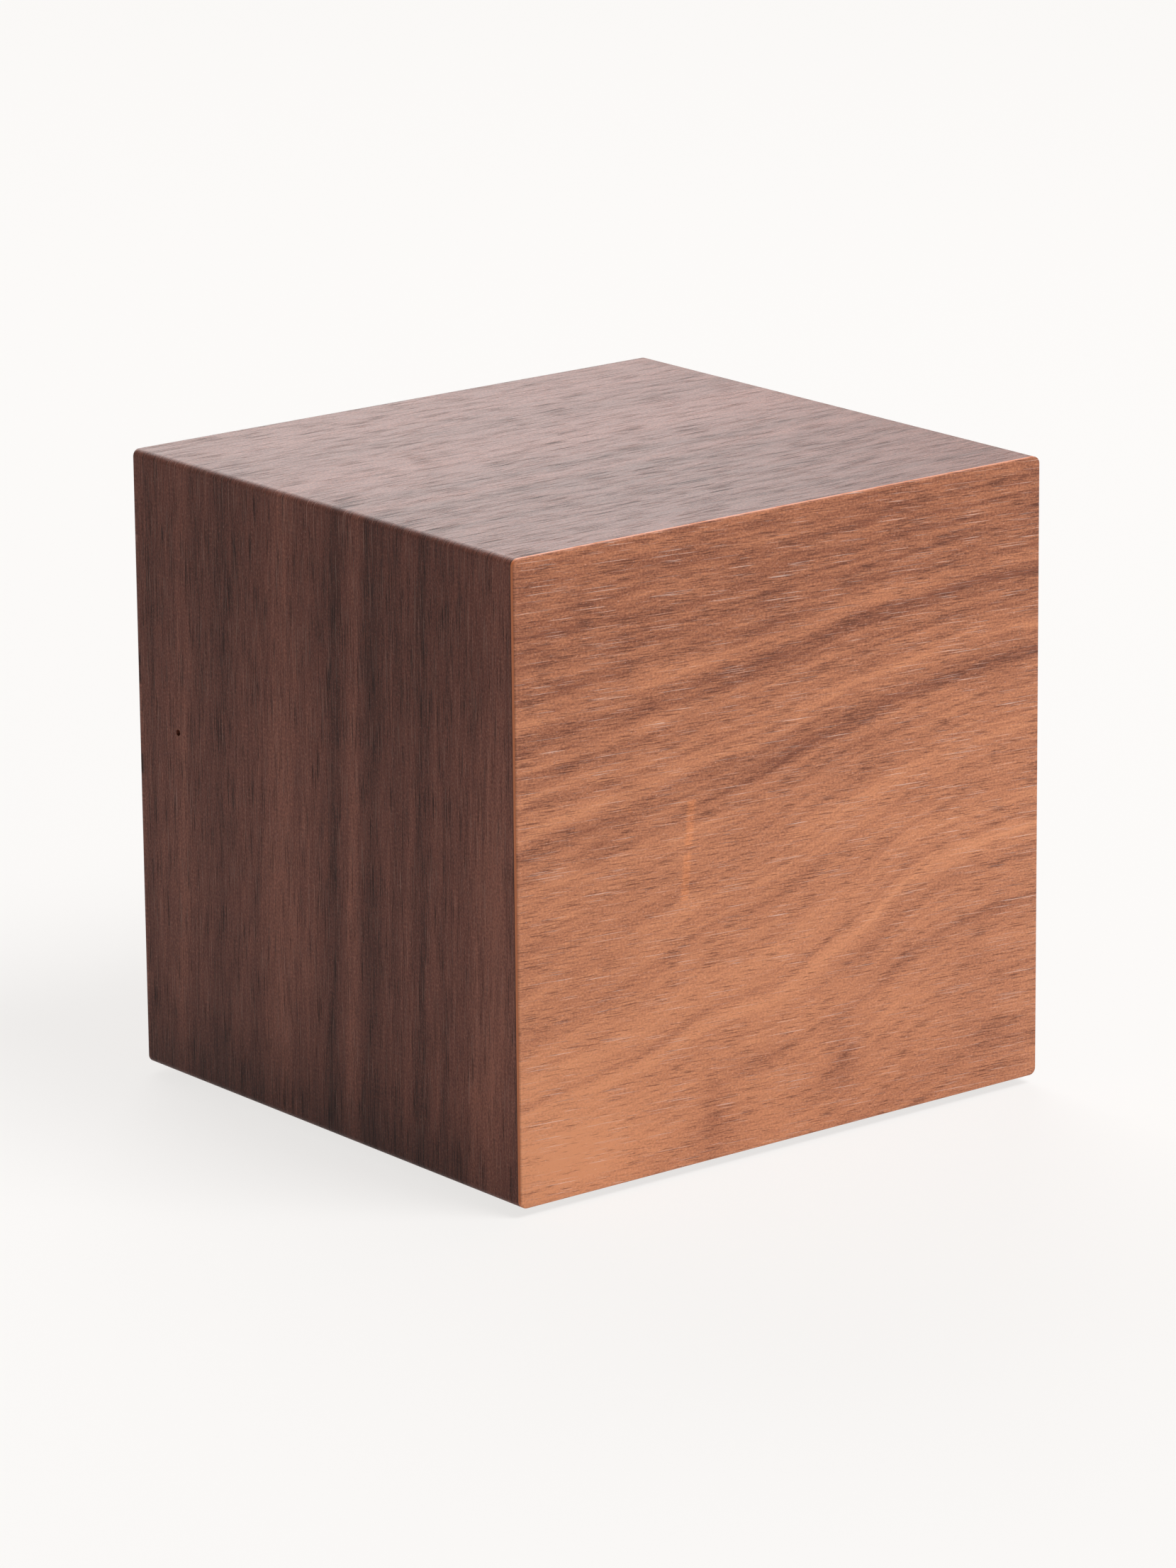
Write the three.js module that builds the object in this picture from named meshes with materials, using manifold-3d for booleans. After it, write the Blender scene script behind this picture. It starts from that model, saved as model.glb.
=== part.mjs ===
// Wooden cube alarm clock whose lit figures shine through the front veneer.
// Millimetres, +X right, +Y back, +Z up. The display faces -Y. The origin lies on
// the table, under the middle of the cabinet.

import * as THREE from 'three';
import { mergeVertices } from 'three/addons/utils/BufferGeometryUtils.js';
import Module from 'manifold-3d';

const wasm = await Module();
wasm.setup();

// Cabinet: a tube of four mitred boards in a wrapped veneer, closed by two end boards
const cabinetWidth = 80;
const cabinetDepth = 74.5;
const cabinetHeight = 77.5;
const boardThickness = 5.4;
const veneerThickness = 0.5;
const glueLine = 0.1;
const foldRadius = 0.9;
const arris = 0.2;
const endFit = 0.1;
const sensorHoleDiameter = 0.8;
const sensorHoleInset = 7.5;
const sensorHoleDrop = 33.8;
const skin = veneerThickness + glueLine;
const ringWidth = cabinetWidth - 2 * skin;
const ringHeight = cabinetHeight - 2 * skin;
const ringLength = cabinetDepth - 2 * skin;
const cavityWidth = ringWidth - 2 * boardThickness;
const cavityHeight = ringHeight - 2 * boardThickness;

// Feet
const footDiameter = 8;
const footHeight = 1;
const footArris = 0.25;
const footInset = 8;

// Fits that many pieces share
const seatGap = 0.1;
const holeFit = 0.1;
const overrun = 1;

// Round pieces: how many flats stand for a circle
const fineSides = 28;
const roundSides = 20;
const smallSides = 10;
const wireSides = 8;
const pinSides = 6;

// Figures: seven bars each, leaning to the right
const figureCount = 4;
const figureHeight = 12.9;
const figureSpan = 8.6;
const figureGap = 2.8;
const barWidth = 1.3;
const barEndGap = 0.35;
const leanAngle = 6;
const colonDiameter = 1.3;
const colonSpacing = 6;
const lean = Math.tan(THREE.MathUtils.degToRad(leanAngle));
const figureWidth = figureSpan + barWidth;
const figurePitch = figureWidth + figureGap;
const figuresHeight = figureHeight + barWidth;
const figuresWidth = figureCount * figureWidth + (figureCount - 1) * figureGap + figuresHeight * lean;

// Display module: a moulded housing, the clear resin potted in its wells, and its substrate
const housingSideWall = 1.75;
const housingEndWall = 2.4;
const housingDepth = 6.8;
const housingRim = 1.2;
const housingArris = 0.3;
const lensSlabThickness = 1;
const lensFit = 0.08;
const lensDrop = 0.1;
const wellFloorShare = 0.72;
const substrateThickness = 1;
const substrateMargin = 0.2;
const pinsPerRow = 6;
const pinPitch = 2.54;
const pinRowSpacing = 15.24;
const pinWidth = 0.5;
const pinReach = 3.2;
const displayFit = 0.2;
const housingWidth = figuresWidth + 2 * housingSideWall;
const housingHeight = figuresHeight + 2 * housingEndWall;

// Circuit boards and the screws that hold them
const circuitThickness = 1.6;
const circuitCorner = 1.5;
const screwInset = 4;
const boardScrewDiameter = 2.2;
const boardScrewHead = 4.6;
const boardScrewHeadHeight = 1.6;
const boardScrewHole = 2.8;
const driveWidth = 0.5;
const driveDepth = 0.6;
const displayBoardSideGap = 3;
const displayBoardEndMargin = 10.5;
const displayScrewLength = 8;
const displayBoardWidth = cavityWidth - 2 * displayBoardSideGap;
const displayBoardHeight = housingHeight + 2 * displayBoardEndMargin;
const displayScrewX = displayBoardWidth / 2 - screwInset;
const displayScrewY = displayBoardHeight / 2 - screwInset;

// Depths behind the front face, from the veneer inwards
const housingFront = -skin;
const housingBack = housingFront - housingDepth;
const substrateFront = housingBack - seatGap;
const substrateBack = substrateFront - substrateThickness;
const displayBoardFront = substrateBack - seatGap;
const displayPartsSeat = displayBoardFront - circuitThickness - seatGap;

// Clock chip and crystal behind the display board
const chipLength = 12.8;
const chipWidth = 7.5;
const chipHeight = 2.3;
const chipStandOff = 0.2;
const chipDraft = 0.25;
const chipLegsPerSide = 10;
const chipLegPitch = 1.27;
const chipLegWidth = 0.45;
const chipLegThickness = 0.25;
const chipLegReach = 1.4;
const chipLegFoot = 0.6;
const chipInset = 13;
const chipX = displayBoardWidth / 2 - chipInset;
const crystalLength = 11.5;
const crystalWidth = 4.7;
const crystalHeight = 3.5;
const crystalFlange = 0.4;
const crystalDrop = 12;

// Ribbon cable between the two boards, and its headers
const headerLength = 12.6;
const headerWidth = 5;
const headerHeight = 6;
const headerWall = 0.8;
const headerSlotDepth = 3.5;
const headerKeyWidth = 3;
const ribbonCores = 8;
const ribbonPitch = 1.27;
const ribbonCore = 1.2;
const ribbonTuck = 3.2;
const ribbonSteps = 12;
const ribbonEaseShare = 0.5;
const cableInset = 13;
const cableX = displayBoardWidth / 2 - cableInset;
const displayHeaderDrop = 4;
const keyHeaderRise = 10;

// Keys on the back: caps, plungers and switches
const keyCount = 3;
const keyPitch = 13;
const keyRise = 9;
const keyTravel = 0.5;
const capDiameter = 6.4;
const capProud = 0.8;
const capFlangeDiameter = 8.6;
const capFlangeThickness = 1;
const capRestGap = 0.3;
const capArris = 0.35;
const capDish = 0.2;
const capHoleFit = 0.3;
const plungerDiameter = 3.5;
const plungerReach = 1.5;
const plungerDepth = 1.3;
const plungerArris = 0.2;
const switchSize = 6;
const switchHeight = 3.5;
const switchCollarDiameter = 4.8;
const switchCollarHeight = 0.4;
const switchBoreDiameter = 3.8;
const switchBoreSpare = 0.2;
const switchLegWidth = 0.8;
const switchLegThickness = 0.3;
const switchLegHeight = 1.4;

// Depths behind the back face, from the veneer inwards
const backBoardInner = -skin - boardThickness;
const capFlangeTop = backBoardInner - capRestGap;
const capFlangeBottom = capFlangeTop - capFlangeThickness;
const plungerTop = capFlangeBottom - seatGap;
const switchTop = plungerTop - plungerReach;
const switchBottom = switchTop - switchHeight;
const keyBoardOuter = switchBottom - seatGap;
const keyPartsSeat = keyBoardOuter - circuitThickness - seatGap;

// Key board, its two posts and its screws
const keyBoardSideGap = 5;
const keyBoardWidth = cavityWidth - 2 * keyBoardSideGap;
const keyBoardHeight = 32;
const keyPostDiameter = 5;
const keyPostRise = 2;
const keyPostX = keyBoardWidth / 2 - screwInset;
const keyScrewBite = 3.5;

// Power socket, buzzer and microphone below the keys
const lowerDrop = 9;
const soundInset = 9;
const soundX = keyBoardWidth / 2 - soundInset;
const portWidth = 12.4;
const portHeight = 8.4;
const portCorner = 1;
const socketWidth = 7.5;
const socketHeight = 2.6;
const socketShell = 0.3;
const socketBevel = 0.85;
const socketInset = 5;
const socketTabWidth = 1.2;
const socketTabHeight = 1.5;
const tongueWidth = 3.6;
const tongueThickness = 0.6;
const tongueInset = 0.6;
const socketFloor = 3.4;
const buzzerDiameter = 9;
const buzzerTop = 1;
const buzzerRimDiameter = 7.4;
const buzzerRimHeight = 0.4;
const buzzerPortDiameter = 1.8;
const microphoneDiameter = 6;
const microphoneRim = 0.5;
const microphoneLip = 0.3;
const microphoneTop = 1.2;
const soundHoleDiameter = 1.5;
const soundHoleSpread = 2.6;
const soundHoleCount = 4;

// Batteries, in a row across the tray
const cellCount = 3;
const cellDiameter = 10.5;
const cellLength = 44.5;
const cellNubDiameter = 3.8;
const cellNubHeight = 0.8;
const cellShoulder = 0.5;
const cellRim = 0.3;
const cellClearance = 0.35;
const cellFloorGap = 0.5;
const cellPitch = cellDiameter + 2 * cellClearance;
const outerCellY = ((cellCount - 1) * cellPitch) / 2;

// Battery contacts
const contactThickness = 0.3;
const contactTrim = 0.3;
const contactSideGap = 2.2;
const contactCorner = 0.8;
const tagWidth = 2.4;
const tagReach = 2.2;
const tagFit = 0.3;
const dimpleHeight = 1.2;
const dimpleDiameter = 4.4;
const dimpleTopShare = 0.6;
const springLength = 5.3;
const springWire = 0.6;
const springTurns = 3.5;
const springTipDiameter = 3.6;
const springSideMargin = 2.2;
const springTurnSteps = 8;
const springWireSides = 5;
const springRootShare = 0.45;
const contactHeight = cellDiameter - contactTrim;
const contactWidth = cellPitch - contactSideGap;
const springBaseDiameter = contactWidth - springSideMargin;
const minusStack = 2 * seatGap + contactThickness + springLength;
const plusStack = 2 * seatGap + contactThickness + dimpleHeight;

// Battery tray, let into the bottom board from below
const trayWall = 1.1;
const trayCorner = 1.2;
const flangeMargin = 4.2;
const flangeCorner = 2;
const trayFit = 0.2;
const doorThickness = 1.4;
const doorLedge = 1;
const doorFit = 0.2;
const doorwayCorner = 0.8;
const endPocket = 1;
const archJoin = 1.5;
const nailNotchDiameter = 6;
const nailNotchDepth = 0.8;
const bayLength = cellLength + minusStack + plusStack;
const bayWidth = cellCount * cellPitch;
const trayLength = bayLength + 2 * trayWall;
const trayWidth = bayWidth + 2 * trayWall;
const flangeLength = trayLength + 2 * flangeMargin;
const flangeWidth = trayWidth + 2 * flangeMargin;
const flangeThickness = doorThickness + seatGap;
const doorwayLength = bayLength + 2 * doorLedge;
const doorwayWidth = bayWidth + 2 * doorLedge;
const archDiameter = cellPitch;
const roofDiameter = archDiameter + 2 * trayWall;
const cellRise = flangeThickness + cellFloorGap + cellDiameter / 2;
const tagTop = roofDiameter / 2 + tagReach;

// Battery door: two hooks on one long edge, a sprung tab on the other
const doorLength = doorwayLength - 2 * doorFit;
const doorWidth = doorwayWidth - 2 * doorFit;
const doorArris = 0.25;
const hookX = 15;
const hookWidth = 5;
const hookPost = 1.4;
const hookWallGap = 0.3;
const hookRise = 1.8;
const hookNose = 1.1;
const slotSideFit = 0.3;
const slotHeadroom = 1.2;
const doorRibWidth = 0.8;
const doorRibRise = 1.6;
const doorRibEndGap = 3;
const tabHalfWidth = 5;
const tabSlit = 0.8;
const tabLength = 8;
const catchWidth = 7;
const catchRise = 2;
const gripDiameter = 7;
const gripInset = 4.6;
const gripDepth = 0.5;
const gripRidges = 3;
const gripRidgePitch = 1.6;
const gripRidgeWidth = 0.6;

// Tray screws, countersunk in the flange
const trayScrewDiameter = 1.8;
const trayScrewHead = 3.4;
const trayScrewSink = 0.9;
const trayScrewLength = 3.4;
const trayScrewDrop = 0.1;
const trayScrewX = (flangeLength + doorwayLength) / 4;
const trayScrewY = (flangeWidth + doorwayWidth) / 4;

// Battery leads
const leadDiameter = 1.3;
const leadLoop = 4;
const leadPadSide = 7;
const leadPadInset = 2.25;
const leadEndGap = 0.3;
const leadStep = 3;
const leadRouteShares = [
  [0, 0, 0.4, 0],
  [0.02, 0.04, 0.8, 0.02],
  [0.15, 0.16, 1, 0.1],
  [0.5, 0.4, 1, 0.35],
  [0.85, 0.65, 0.75, 0.65],
  [0.98, 0.85, 0.3, 0.92],
];

// Finishes
function finish(color, roughness, metalness = 0) {
  return new THREE.MeshStandardMaterial({ color, roughness, metalness });
}

const wrapWalnut = finish(0x5a3d34, 0.42);
const faceWalnut = finish(0xb5795e, 0.5);
const fibreboard = finish(0xa98a63, 0.9);
const blackPlastic = finish(0x1b1b1d, 0.55);
const whiteResin = finish(0xe6e1d6, 0.4);
const greenBoard = finish(0x1f5a37, 0.45);
const chipBlack = finish(0x18191b, 0.6);
const tinned = finish(0xc3c6c8, 0.3, 1);
const screwSteel = finish(0x9a9da0, 0.35, 1);
const paleNylon = finish(0xe3dfd2, 0.6);
const greyRibbon = finish(0x9b9da1, 0.6);
const redWire = finish(0xb3201c, 0.5);
const blackWire = finish(0x1a1a1a, 0.5);
const cellJacket = finish(0x3c4148, 0.4);
const darkRubber = finish(0x2a2926, 0.9);

// Solids: closed meshes in and out of the boolean library
function solid(geometry) {
  const bare = geometry.clone();
  bare.deleteAttribute('normal');
  bare.deleteAttribute('uv');
  const merged = mergeVertices(bare);
  const corners = merged.index.array;
  const triangles = [];
  for (let i = 0; i < corners.length; i += 3) {
    const [a, b, c] = [corners[i], corners[i + 1], corners[i + 2]];
    if (a !== b && b !== c && c !== a) triangles.push(a, b, c);
  }
  return new wasm.Manifold(new wasm.Mesh({
    numProp: 3,
    vertProperties: new Float32Array(merged.attributes.position.array),
    triVerts: new Uint32Array(triangles),
  }));
}

function geometryOf(body) {
  const mesh = body.getMesh();
  const geometry = new THREE.BufferGeometry();
  geometry.setAttribute('position', new THREE.BufferAttribute(new Float32Array(mesh.vertProperties), 3));
  geometry.setIndex(new THREE.BufferAttribute(new Uint32Array(mesh.triVerts), 1));
  return geometry;
}

function join(...geometries) {
  return geometryOf(geometries.map(solid).reduce((whole, body) => whole.add(body)));
}

function cut(geometry, ...tools) {
  return geometryOf(tools.map(solid).reduce((whole, tool) => whole.subtract(tool), solid(geometry)));
}

// Outlines in X and Y, anticlockwise
function circlePoints(diameter, sides, x = 0, y = 0) {
  return Array.from({ length: sides }, (_, i) => {
    const angle = (2 * Math.PI * (i + 0.5)) / sides;
    return [x + (diameter / 2) * Math.cos(angle), y + (diameter / 2) * Math.sin(angle)];
  });
}

function roundedPoints(width, height, radius, arcSteps = 2, x = 0, y = 0) {
  const points = [];
  const turns = [[1, 1], [-1, 1], [-1, -1], [1, -1]];
  turns.forEach(([sideX, sideY], turn) => {
    for (let step = 0; step <= arcSteps; step++) {
      const angle = (Math.PI / 2) * (turn + step / arcSteps);
      points.push([
        x + sideX * (width / 2 - radius) + radius * Math.cos(angle),
        y + sideY * (height / 2 - radius) + radius * Math.sin(angle),
      ]);
    }
  });
  return points;
}

function rectanglePoints(width, height, x = 0, y = 0) {
  return [
    [x - width / 2, y - height / 2],
    [x + width / 2, y - height / 2],
    [x + width / 2, y + height / 2],
    [x - width / 2, y + height / 2],
  ];
}

function block(width, depth, bottom, top, x = 0, y = 0) {
  return slab(rectanglePoints(width, depth, x, y), bottom, top);
}

function rod(diameter, sides, bottom, top, x = 0, y = 0) {
  return slab(circlePoints(diameter, sides, x, y), bottom, top);
}

// A solid of revolution from a profile that climbs from the axis and returns to it
function turned(profile, sides) {
  const points = profile.map(([radius, z]) => new THREE.Vector2(radius, z));
  return new THREE.LatheGeometry(points, sides).rotateX(Math.PI / 2);
}

// A solid through anticlockwise outlines of equal count, each with its own height
function lofted(rings) {
  const count = rings[0].points.length;
  const positions = rings.flatMap(({ points, z }) => points.flatMap(([x, y]) => [x, y, z]));
  const indices = [];
  for (let ring = 0; ring + 1 < rings.length; ring++) {
    for (let i = 0; i < count; i++) {
      const a = ring * count + i;
      const b = ring * count + ((i + 1) % count);
      indices.push(a, b, b + count, a, b + count, a + count);
    }
  }
  const outline = rings[0].points.map(([x, y]) => new THREE.Vector2(x, y));
  const last = (rings.length - 1) * count;
  for (const [i, j, k] of THREE.ShapeUtils.triangulateShape(outline, [])) {
    indices.push(k, j, i, last + i, last + j, last + k);
  }
  const geometry = new THREE.BufferGeometry();
  geometry.setAttribute('position', new THREE.Float32BufferAttribute(positions, 3));
  geometry.setIndex(indices);
  return geometry;
}

function slab(points, bottom, top) {
  return lofted([{ points, z: bottom }, { points, z: top }]);
}

// A rounded plate whose upper edge is eased
function easedPlate(width, height, radius, bottom, top, ease) {
  return lofted([
    { points: roundedPoints(width, height, radius), z: bottom },
    { points: roundedPoints(width, height, radius), z: top - ease },
    { points: roundedPoints(width - 2 * ease, height - 2 * ease, radius - ease), z: top },
  ]);
}

// A section of X and Y points drawn along a curve
function tube(curve, points, steps) {
  const section = new THREE.Shape(points.map(([x, y]) => new THREE.Vector2(x, y)));
  return new THREE.ExtrudeGeometry(section, { extrudePath: curve, steps, bevelEnabled: false });
}

// The part and its frames: an upright frame has X along the face, Y up and Z out of it
const part = new THREE.Group();

function frame(parent, x = 0, y = 0, z = 0) {
  const group = new THREE.Group();
  group.position.set(x, y, z);
  parent.add(group);
  return group;
}

function uprightFrame(parent, turn, x, y, z) {
  const group = frame(parent, x, y, z);
  group.rotation.set(Math.PI / 2, 0, turn, 'ZXY');
  return group;
}

function mesh(name, geometry, material, parent, x = 0, y = 0, z = 0) {
  const piece = new THREE.Mesh(geometryOf(solid(geometry)), material);
  piece.geometry.computeVertexNormals();
  piece.name = name;
  piece.position.set(x, y, z);
  parent.add(piece);
  return piece;
}

// Pan-headed screw: head above z = 0, shank below, a cross in the head
function panScrew(length) {
  const head = boardScrewHead / 2;
  const shank = boardScrewDiameter / 2;
  const crown = boardScrewHeadHeight;
  const body = turned([
    [0, -length],
    [shank / 2, -length],
    [shank, shank / 2 - length],
    [shank, 0],
    [head, 0],
    [head, crown / 2],
    [head - crown / 2, crown],
    [0, crown],
  ], smallSides);
  const reach = boardScrewHead / 2;
  const floor = crown - driveDepth;
  return cut(
    body,
    block(reach, driveWidth, floor, crown + overrun),
    block(driveWidth, reach, floor, crown + overrun),
  );
}

// Countersunk screw: its flat top at z = 0, everything else below
function sunkScrew() {
  const head = trayScrewHead / 2;
  const shank = trayScrewDiameter / 2;
  const body = turned([
    [0, -trayScrewLength],
    [shank / 2, -trayScrewLength],
    [shank, shank / 2 - trayScrewLength],
    [shank, -trayScrewSink],
    [head, 0],
    [0, 0],
  ], smallSides);
  const reach = trayScrewHead / 2;
  return cut(
    body,
    block(reach, driveWidth, -driveDepth, overrun),
    block(driveWidth, reach, -driveDepth, overrun),
  );
}

// Board of the tube: outer face up at z = 0, mitred along both long edges
function mitredBoard(width) {
  const setback = glueLine / Math.SQRT2;
  const corner = foldRadius - skin;
  const innerX = width / 2 - boardThickness - setback;
  const arcX = width / 2 - corner - setback;
  const right = [[innerX, -boardThickness]];
  for (const angle of [Math.PI / 4, (3 * Math.PI) / 8, Math.PI / 2]) {
    right.push([arcX + corner * Math.cos(angle), corner * Math.sin(angle) - corner]);
  }
  const left = right.map(([x, z]) => [-x, z]).reverse();
  return slab([...right, ...left], -ringLength / 2, ringLength / 2).rotateX(Math.PI / 2);
}

// Cabinet tube
function addTube(cabinet) {
  const middle = cabinetHeight / 2;
  const inner = foldRadius - veneerThickness;
  const sheet = cut(
    slab(roundedPoints(cabinetWidth, cabinetHeight, foldRadius), -ringLength / 2, ringLength / 2),
    slab(
      roundedPoints(cabinetWidth - 2 * veneerThickness, cabinetHeight - 2 * veneerThickness, inner),
      -ringLength / 2 - overrun,
      ringLength / 2 + overrun,
    ),
  ).rotateX(Math.PI / 2).translate(0, 0, middle);
  const opening = slab(
    roundedPoints(flangeLength + 2 * trayFit, flangeWidth + 2 * trayFit, flangeCorner + trayFit),
    -overrun,
    skin,
  );
  const holeY = cabinetDepth / 2 - sensorHoleInset;
  const hole = (bottom, top, x) => rod(sensorHoleDiameter, smallSides, bottom, top, x, holeY);
  const sheetHole = hole(-skin, overrun, middle - sensorHoleDrop)
    .rotateY(-Math.PI / 2)
    .translate(-cabinetWidth / 2, 0, middle);
  mesh('wrap_veneer', cut(sheet, opening, sheetHole), wrapWalnut, cabinet);

  mesh('top_board', mitredBoard(ringWidth), fibreboard, cabinet, 0, 0, cabinetHeight - skin);
  const drilled = cut(mitredBoard(ringHeight), hole(-boardThickness - overrun, overrun, middle - sensorHoleDrop));
  const left = mesh('left_board', drilled, fibreboard, cabinet, -ringWidth / 2, 0, middle);
  left.rotation.y = -Math.PI / 2;
  const right = mesh('right_board', mitredBoard(ringHeight), fibreboard, cabinet, ringWidth / 2, 0, middle);
  right.rotation.y = Math.PI / 2;

  const rebate = slab(
    roundedPoints(flangeLength + 2 * trayFit, flangeWidth + 2 * trayFit, flangeCorner + trayFit),
    skin - flangeThickness - seatGap,
    overrun,
  );
  const doorway = slab(
    roundedPoints(trayLength + 2 * trayFit, trayWidth + 2 * trayFit, trayCorner + trayFit),
    -boardThickness - overrun,
    overrun,
  );
  const pilots = trayScrewPlaces().map(([x, y]) => rod(
    trayScrewDiameter + 2 * holeFit,
    smallSides,
    skin - trayScrewDrop - trayScrewLength - seatGap,
    overrun,
    x,
    y,
  ));
  const bottomBoard = cut(mitredBoard(ringWidth), rebate, doorway, ...pilots);
  const bottom = mesh('bottom_board', bottomBoard, fibreboard, cabinet, 0, 0, skin);
  bottom.rotation.y = Math.PI;
}

function trayScrewPlaces() {
  return [[-1, -1], [1, -1], [-1, 1], [1, 1]].map(([x, y]) => [x * trayScrewX, y * trayScrewY]);
}

function displayScrewPlaces() {
  return [[-1, -1], [1, -1], [-1, 1], [1, 1]].map(([x, y]) => [x * displayScrewX, y * displayScrewY]);
}

function keyPostPlaces() {
  return [[-keyPostX, keyPostRise], [keyPostX, keyPostRise]];
}

function keyPlaces() {
  return Array.from({ length: keyCount }, (_, i) => [(i - (keyCount - 1) / 2) * keyPitch, keyRise]);
}

// Ends of the cabinet
function addFrontEnd(face) {
  const sheet = easedPlate(cabinetWidth, cabinetHeight, foldRadius, -veneerThickness, 0, arris);
  mesh('front_veneer', sheet, faceWalnut, face);

  const pilots = displayScrewPlaces().map(([x, y]) => rod(
    boardScrewDiameter + 2 * holeFit,
    smallSides,
    substrateBack - overrun,
    displayPartsSeat + displayScrewLength + seatGap,
    x,
    y,
  ));
  const window = block(
    housingWidth + 2 * displayFit,
    housingHeight + 2 * displayFit,
    substrateBack - overrun,
    overrun,
  );
  const board = block(cavityWidth - 2 * endFit, cavityHeight - 2 * endFit, substrateBack, -skin);
  mesh('front_board', cut(board, window, ...pilots), fibreboard, face);
}

function backOpenings(bottom) {
  const capHole = capDiameter + 2 * capHoleFit;
  const openings = keyPlaces().map(([x, y]) => rod(capHole, fineSides, bottom, overrun, x, y));
  openings.push(slab(roundedPoints(portWidth, portHeight, portCorner, 2, 0, -lowerDrop), bottom, overrun));
  openings.push(rod(soundHoleDiameter, wireSides, bottom, overrun, -soundX, -lowerDrop));
  openings.push(rod(soundHoleDiameter, wireSides, bottom, overrun, soundX, -lowerDrop));
  for (const [x, y] of circlePoints(2 * soundHoleSpread, soundHoleCount, soundX, -lowerDrop)) {
    openings.push(rod(soundHoleDiameter, wireSides, bottom, overrun, x, y));
  }
  return openings;
}

function addBackEnd(face) {
  const sheet = easedPlate(cabinetWidth, cabinetHeight, foldRadius, -veneerThickness, 0, arris);
  mesh('back_veneer', cut(sheet, ...backOpenings(-veneerThickness - overrun)), wrapWalnut, face);

  const pilots = keyPostPlaces().map(([x, y]) => rod(
    boardScrewDiameter + 2 * holeFit,
    smallSides,
    backBoardInner - overrun,
    backBoardInner + keyScrewBite + seatGap,
    x,
    y,
  ));
  const board = block(cavityWidth - 2 * endFit, cavityHeight - 2 * endFit, backBoardInner, -skin);
  mesh('back_board', cut(board, ...backOpenings(backBoardInner - overrun), ...pilots), fibreboard, face);
}

// Bars of one figure: middle, half length, and whether it lies or stands
function figureBars() {
  const side = figureSpan / 2;
  const rise = figureHeight / 4;
  return [
    { x: 0, y: 2 * rise, lies: true },
    { x: 0, y: 0, lies: true },
    { x: 0, y: -2 * rise, lies: true },
    { x: -side, y: rise, lies: false },
    { x: side, y: rise, lies: false },
    { x: -side, y: -rise, lies: false },
    { x: side, y: -rise, lies: false },
  ];
}

// Outline of one bar grown by a fit and drawn in towards its middle by a share
function barPoints(bar, figureX, grow, share) {
  const half = barWidth / 2 + grow;
  const reach = (bar.lies ? figureSpan : figureHeight / 2) / 2 - barEndGap + grow;
  const shoulder = reach - half;
  const along = [
    [-reach, 0],
    [-shoulder, -half],
    [shoulder, -half],
    [reach, 0],
    [shoulder, half],
    [-shoulder, half],
  ];
  return along.map(([u, v]) => {
    const x = share * (bar.lies ? u : -v);
    const y = bar.y + share * (bar.lies ? v : u);
    return [figureX + bar.x + x + y * lean, y];
  });
}

// Every lit shape of the display, as tapered solids between two depths
function litShapes(grow, bottom, top) {
  const shareAt = (z) => 1 + ((1 - wellFloorShare) * (z - housingFront)) / housingDepth;
  const shapes = [];
  for (let figure = 0; figure < figureCount; figure++) {
    const figureX = (figure - (figureCount - 1) / 2) * figurePitch;
    for (const bar of figureBars()) {
      shapes.push(lofted([
        { points: barPoints(bar, figureX, grow, shareAt(bottom)), z: bottom },
        { points: barPoints(bar, figureX, grow, shareAt(top)), z: top },
      ]));
    }
  }
  for (const y of [-colonSpacing / 2, colonSpacing / 2]) {
    const dot = (z) => circlePoints((colonDiameter + 2 * grow) * shareAt(z), smallSides, y * lean, y);
    shapes.push(lofted([{ points: dot(bottom), z: bottom }, { points: dot(top), z: top }]));
  }
  return shapes;
}

// Display module
function addDisplay(face) {
  const corner = housingArris + seatGap;
  const shell = easedPlate(housingWidth, housingHeight, corner, housingBack, housingFront, housingArris);
  const slabBottom = housingBack + seatGap;
  const slabTop = slabBottom + lensSlabThickness;
  const recess = block(
    housingWidth - 2 * housingRim,
    housingHeight - 2 * housingRim,
    housingBack - overrun,
    slabTop + lensFit,
  );
  const wells = litShapes(lensFit, housingBack, housingFront + overrun);
  mesh('display_housing', cut(shell, recess, ...wells), blackPlastic, face);

  const lensSlab = block(
    housingWidth - 2 * housingRim - 2 * lensFit,
    housingHeight - 2 * housingRim - 2 * lensFit,
    slabBottom,
    slabTop,
  );
  const bars = litShapes(0, slabBottom + lensSlabThickness / 2, housingFront - lensDrop);
  mesh('segment_lenses', join(lensSlab, ...bars), whiteResin, face);

  const substrate = block(
    housingWidth - 2 * substrateMargin,
    housingHeight - 2 * substrateMargin,
    substrateBack,
    substrateFront,
  );
  const pins = displayPinPlaces().map(([x, y]) => block(
    pinWidth,
    pinWidth,
    substrateBack - pinReach,
    substrateBack + substrateThickness / 2,
    x,
    y,
  ));
  mesh('display_substrate', join(substrate, ...pins), greenBoard, face);
}

function displayPinPlaces() {
  const places = [];
  for (const row of [-1, 1]) {
    for (let i = 0; i < pinsPerRow; i++) {
      places.push([(i - (pinsPerRow - 1) / 2) * pinPitch, (row * pinRowSpacing) / 2]);
    }
  }
  return places;
}

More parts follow.
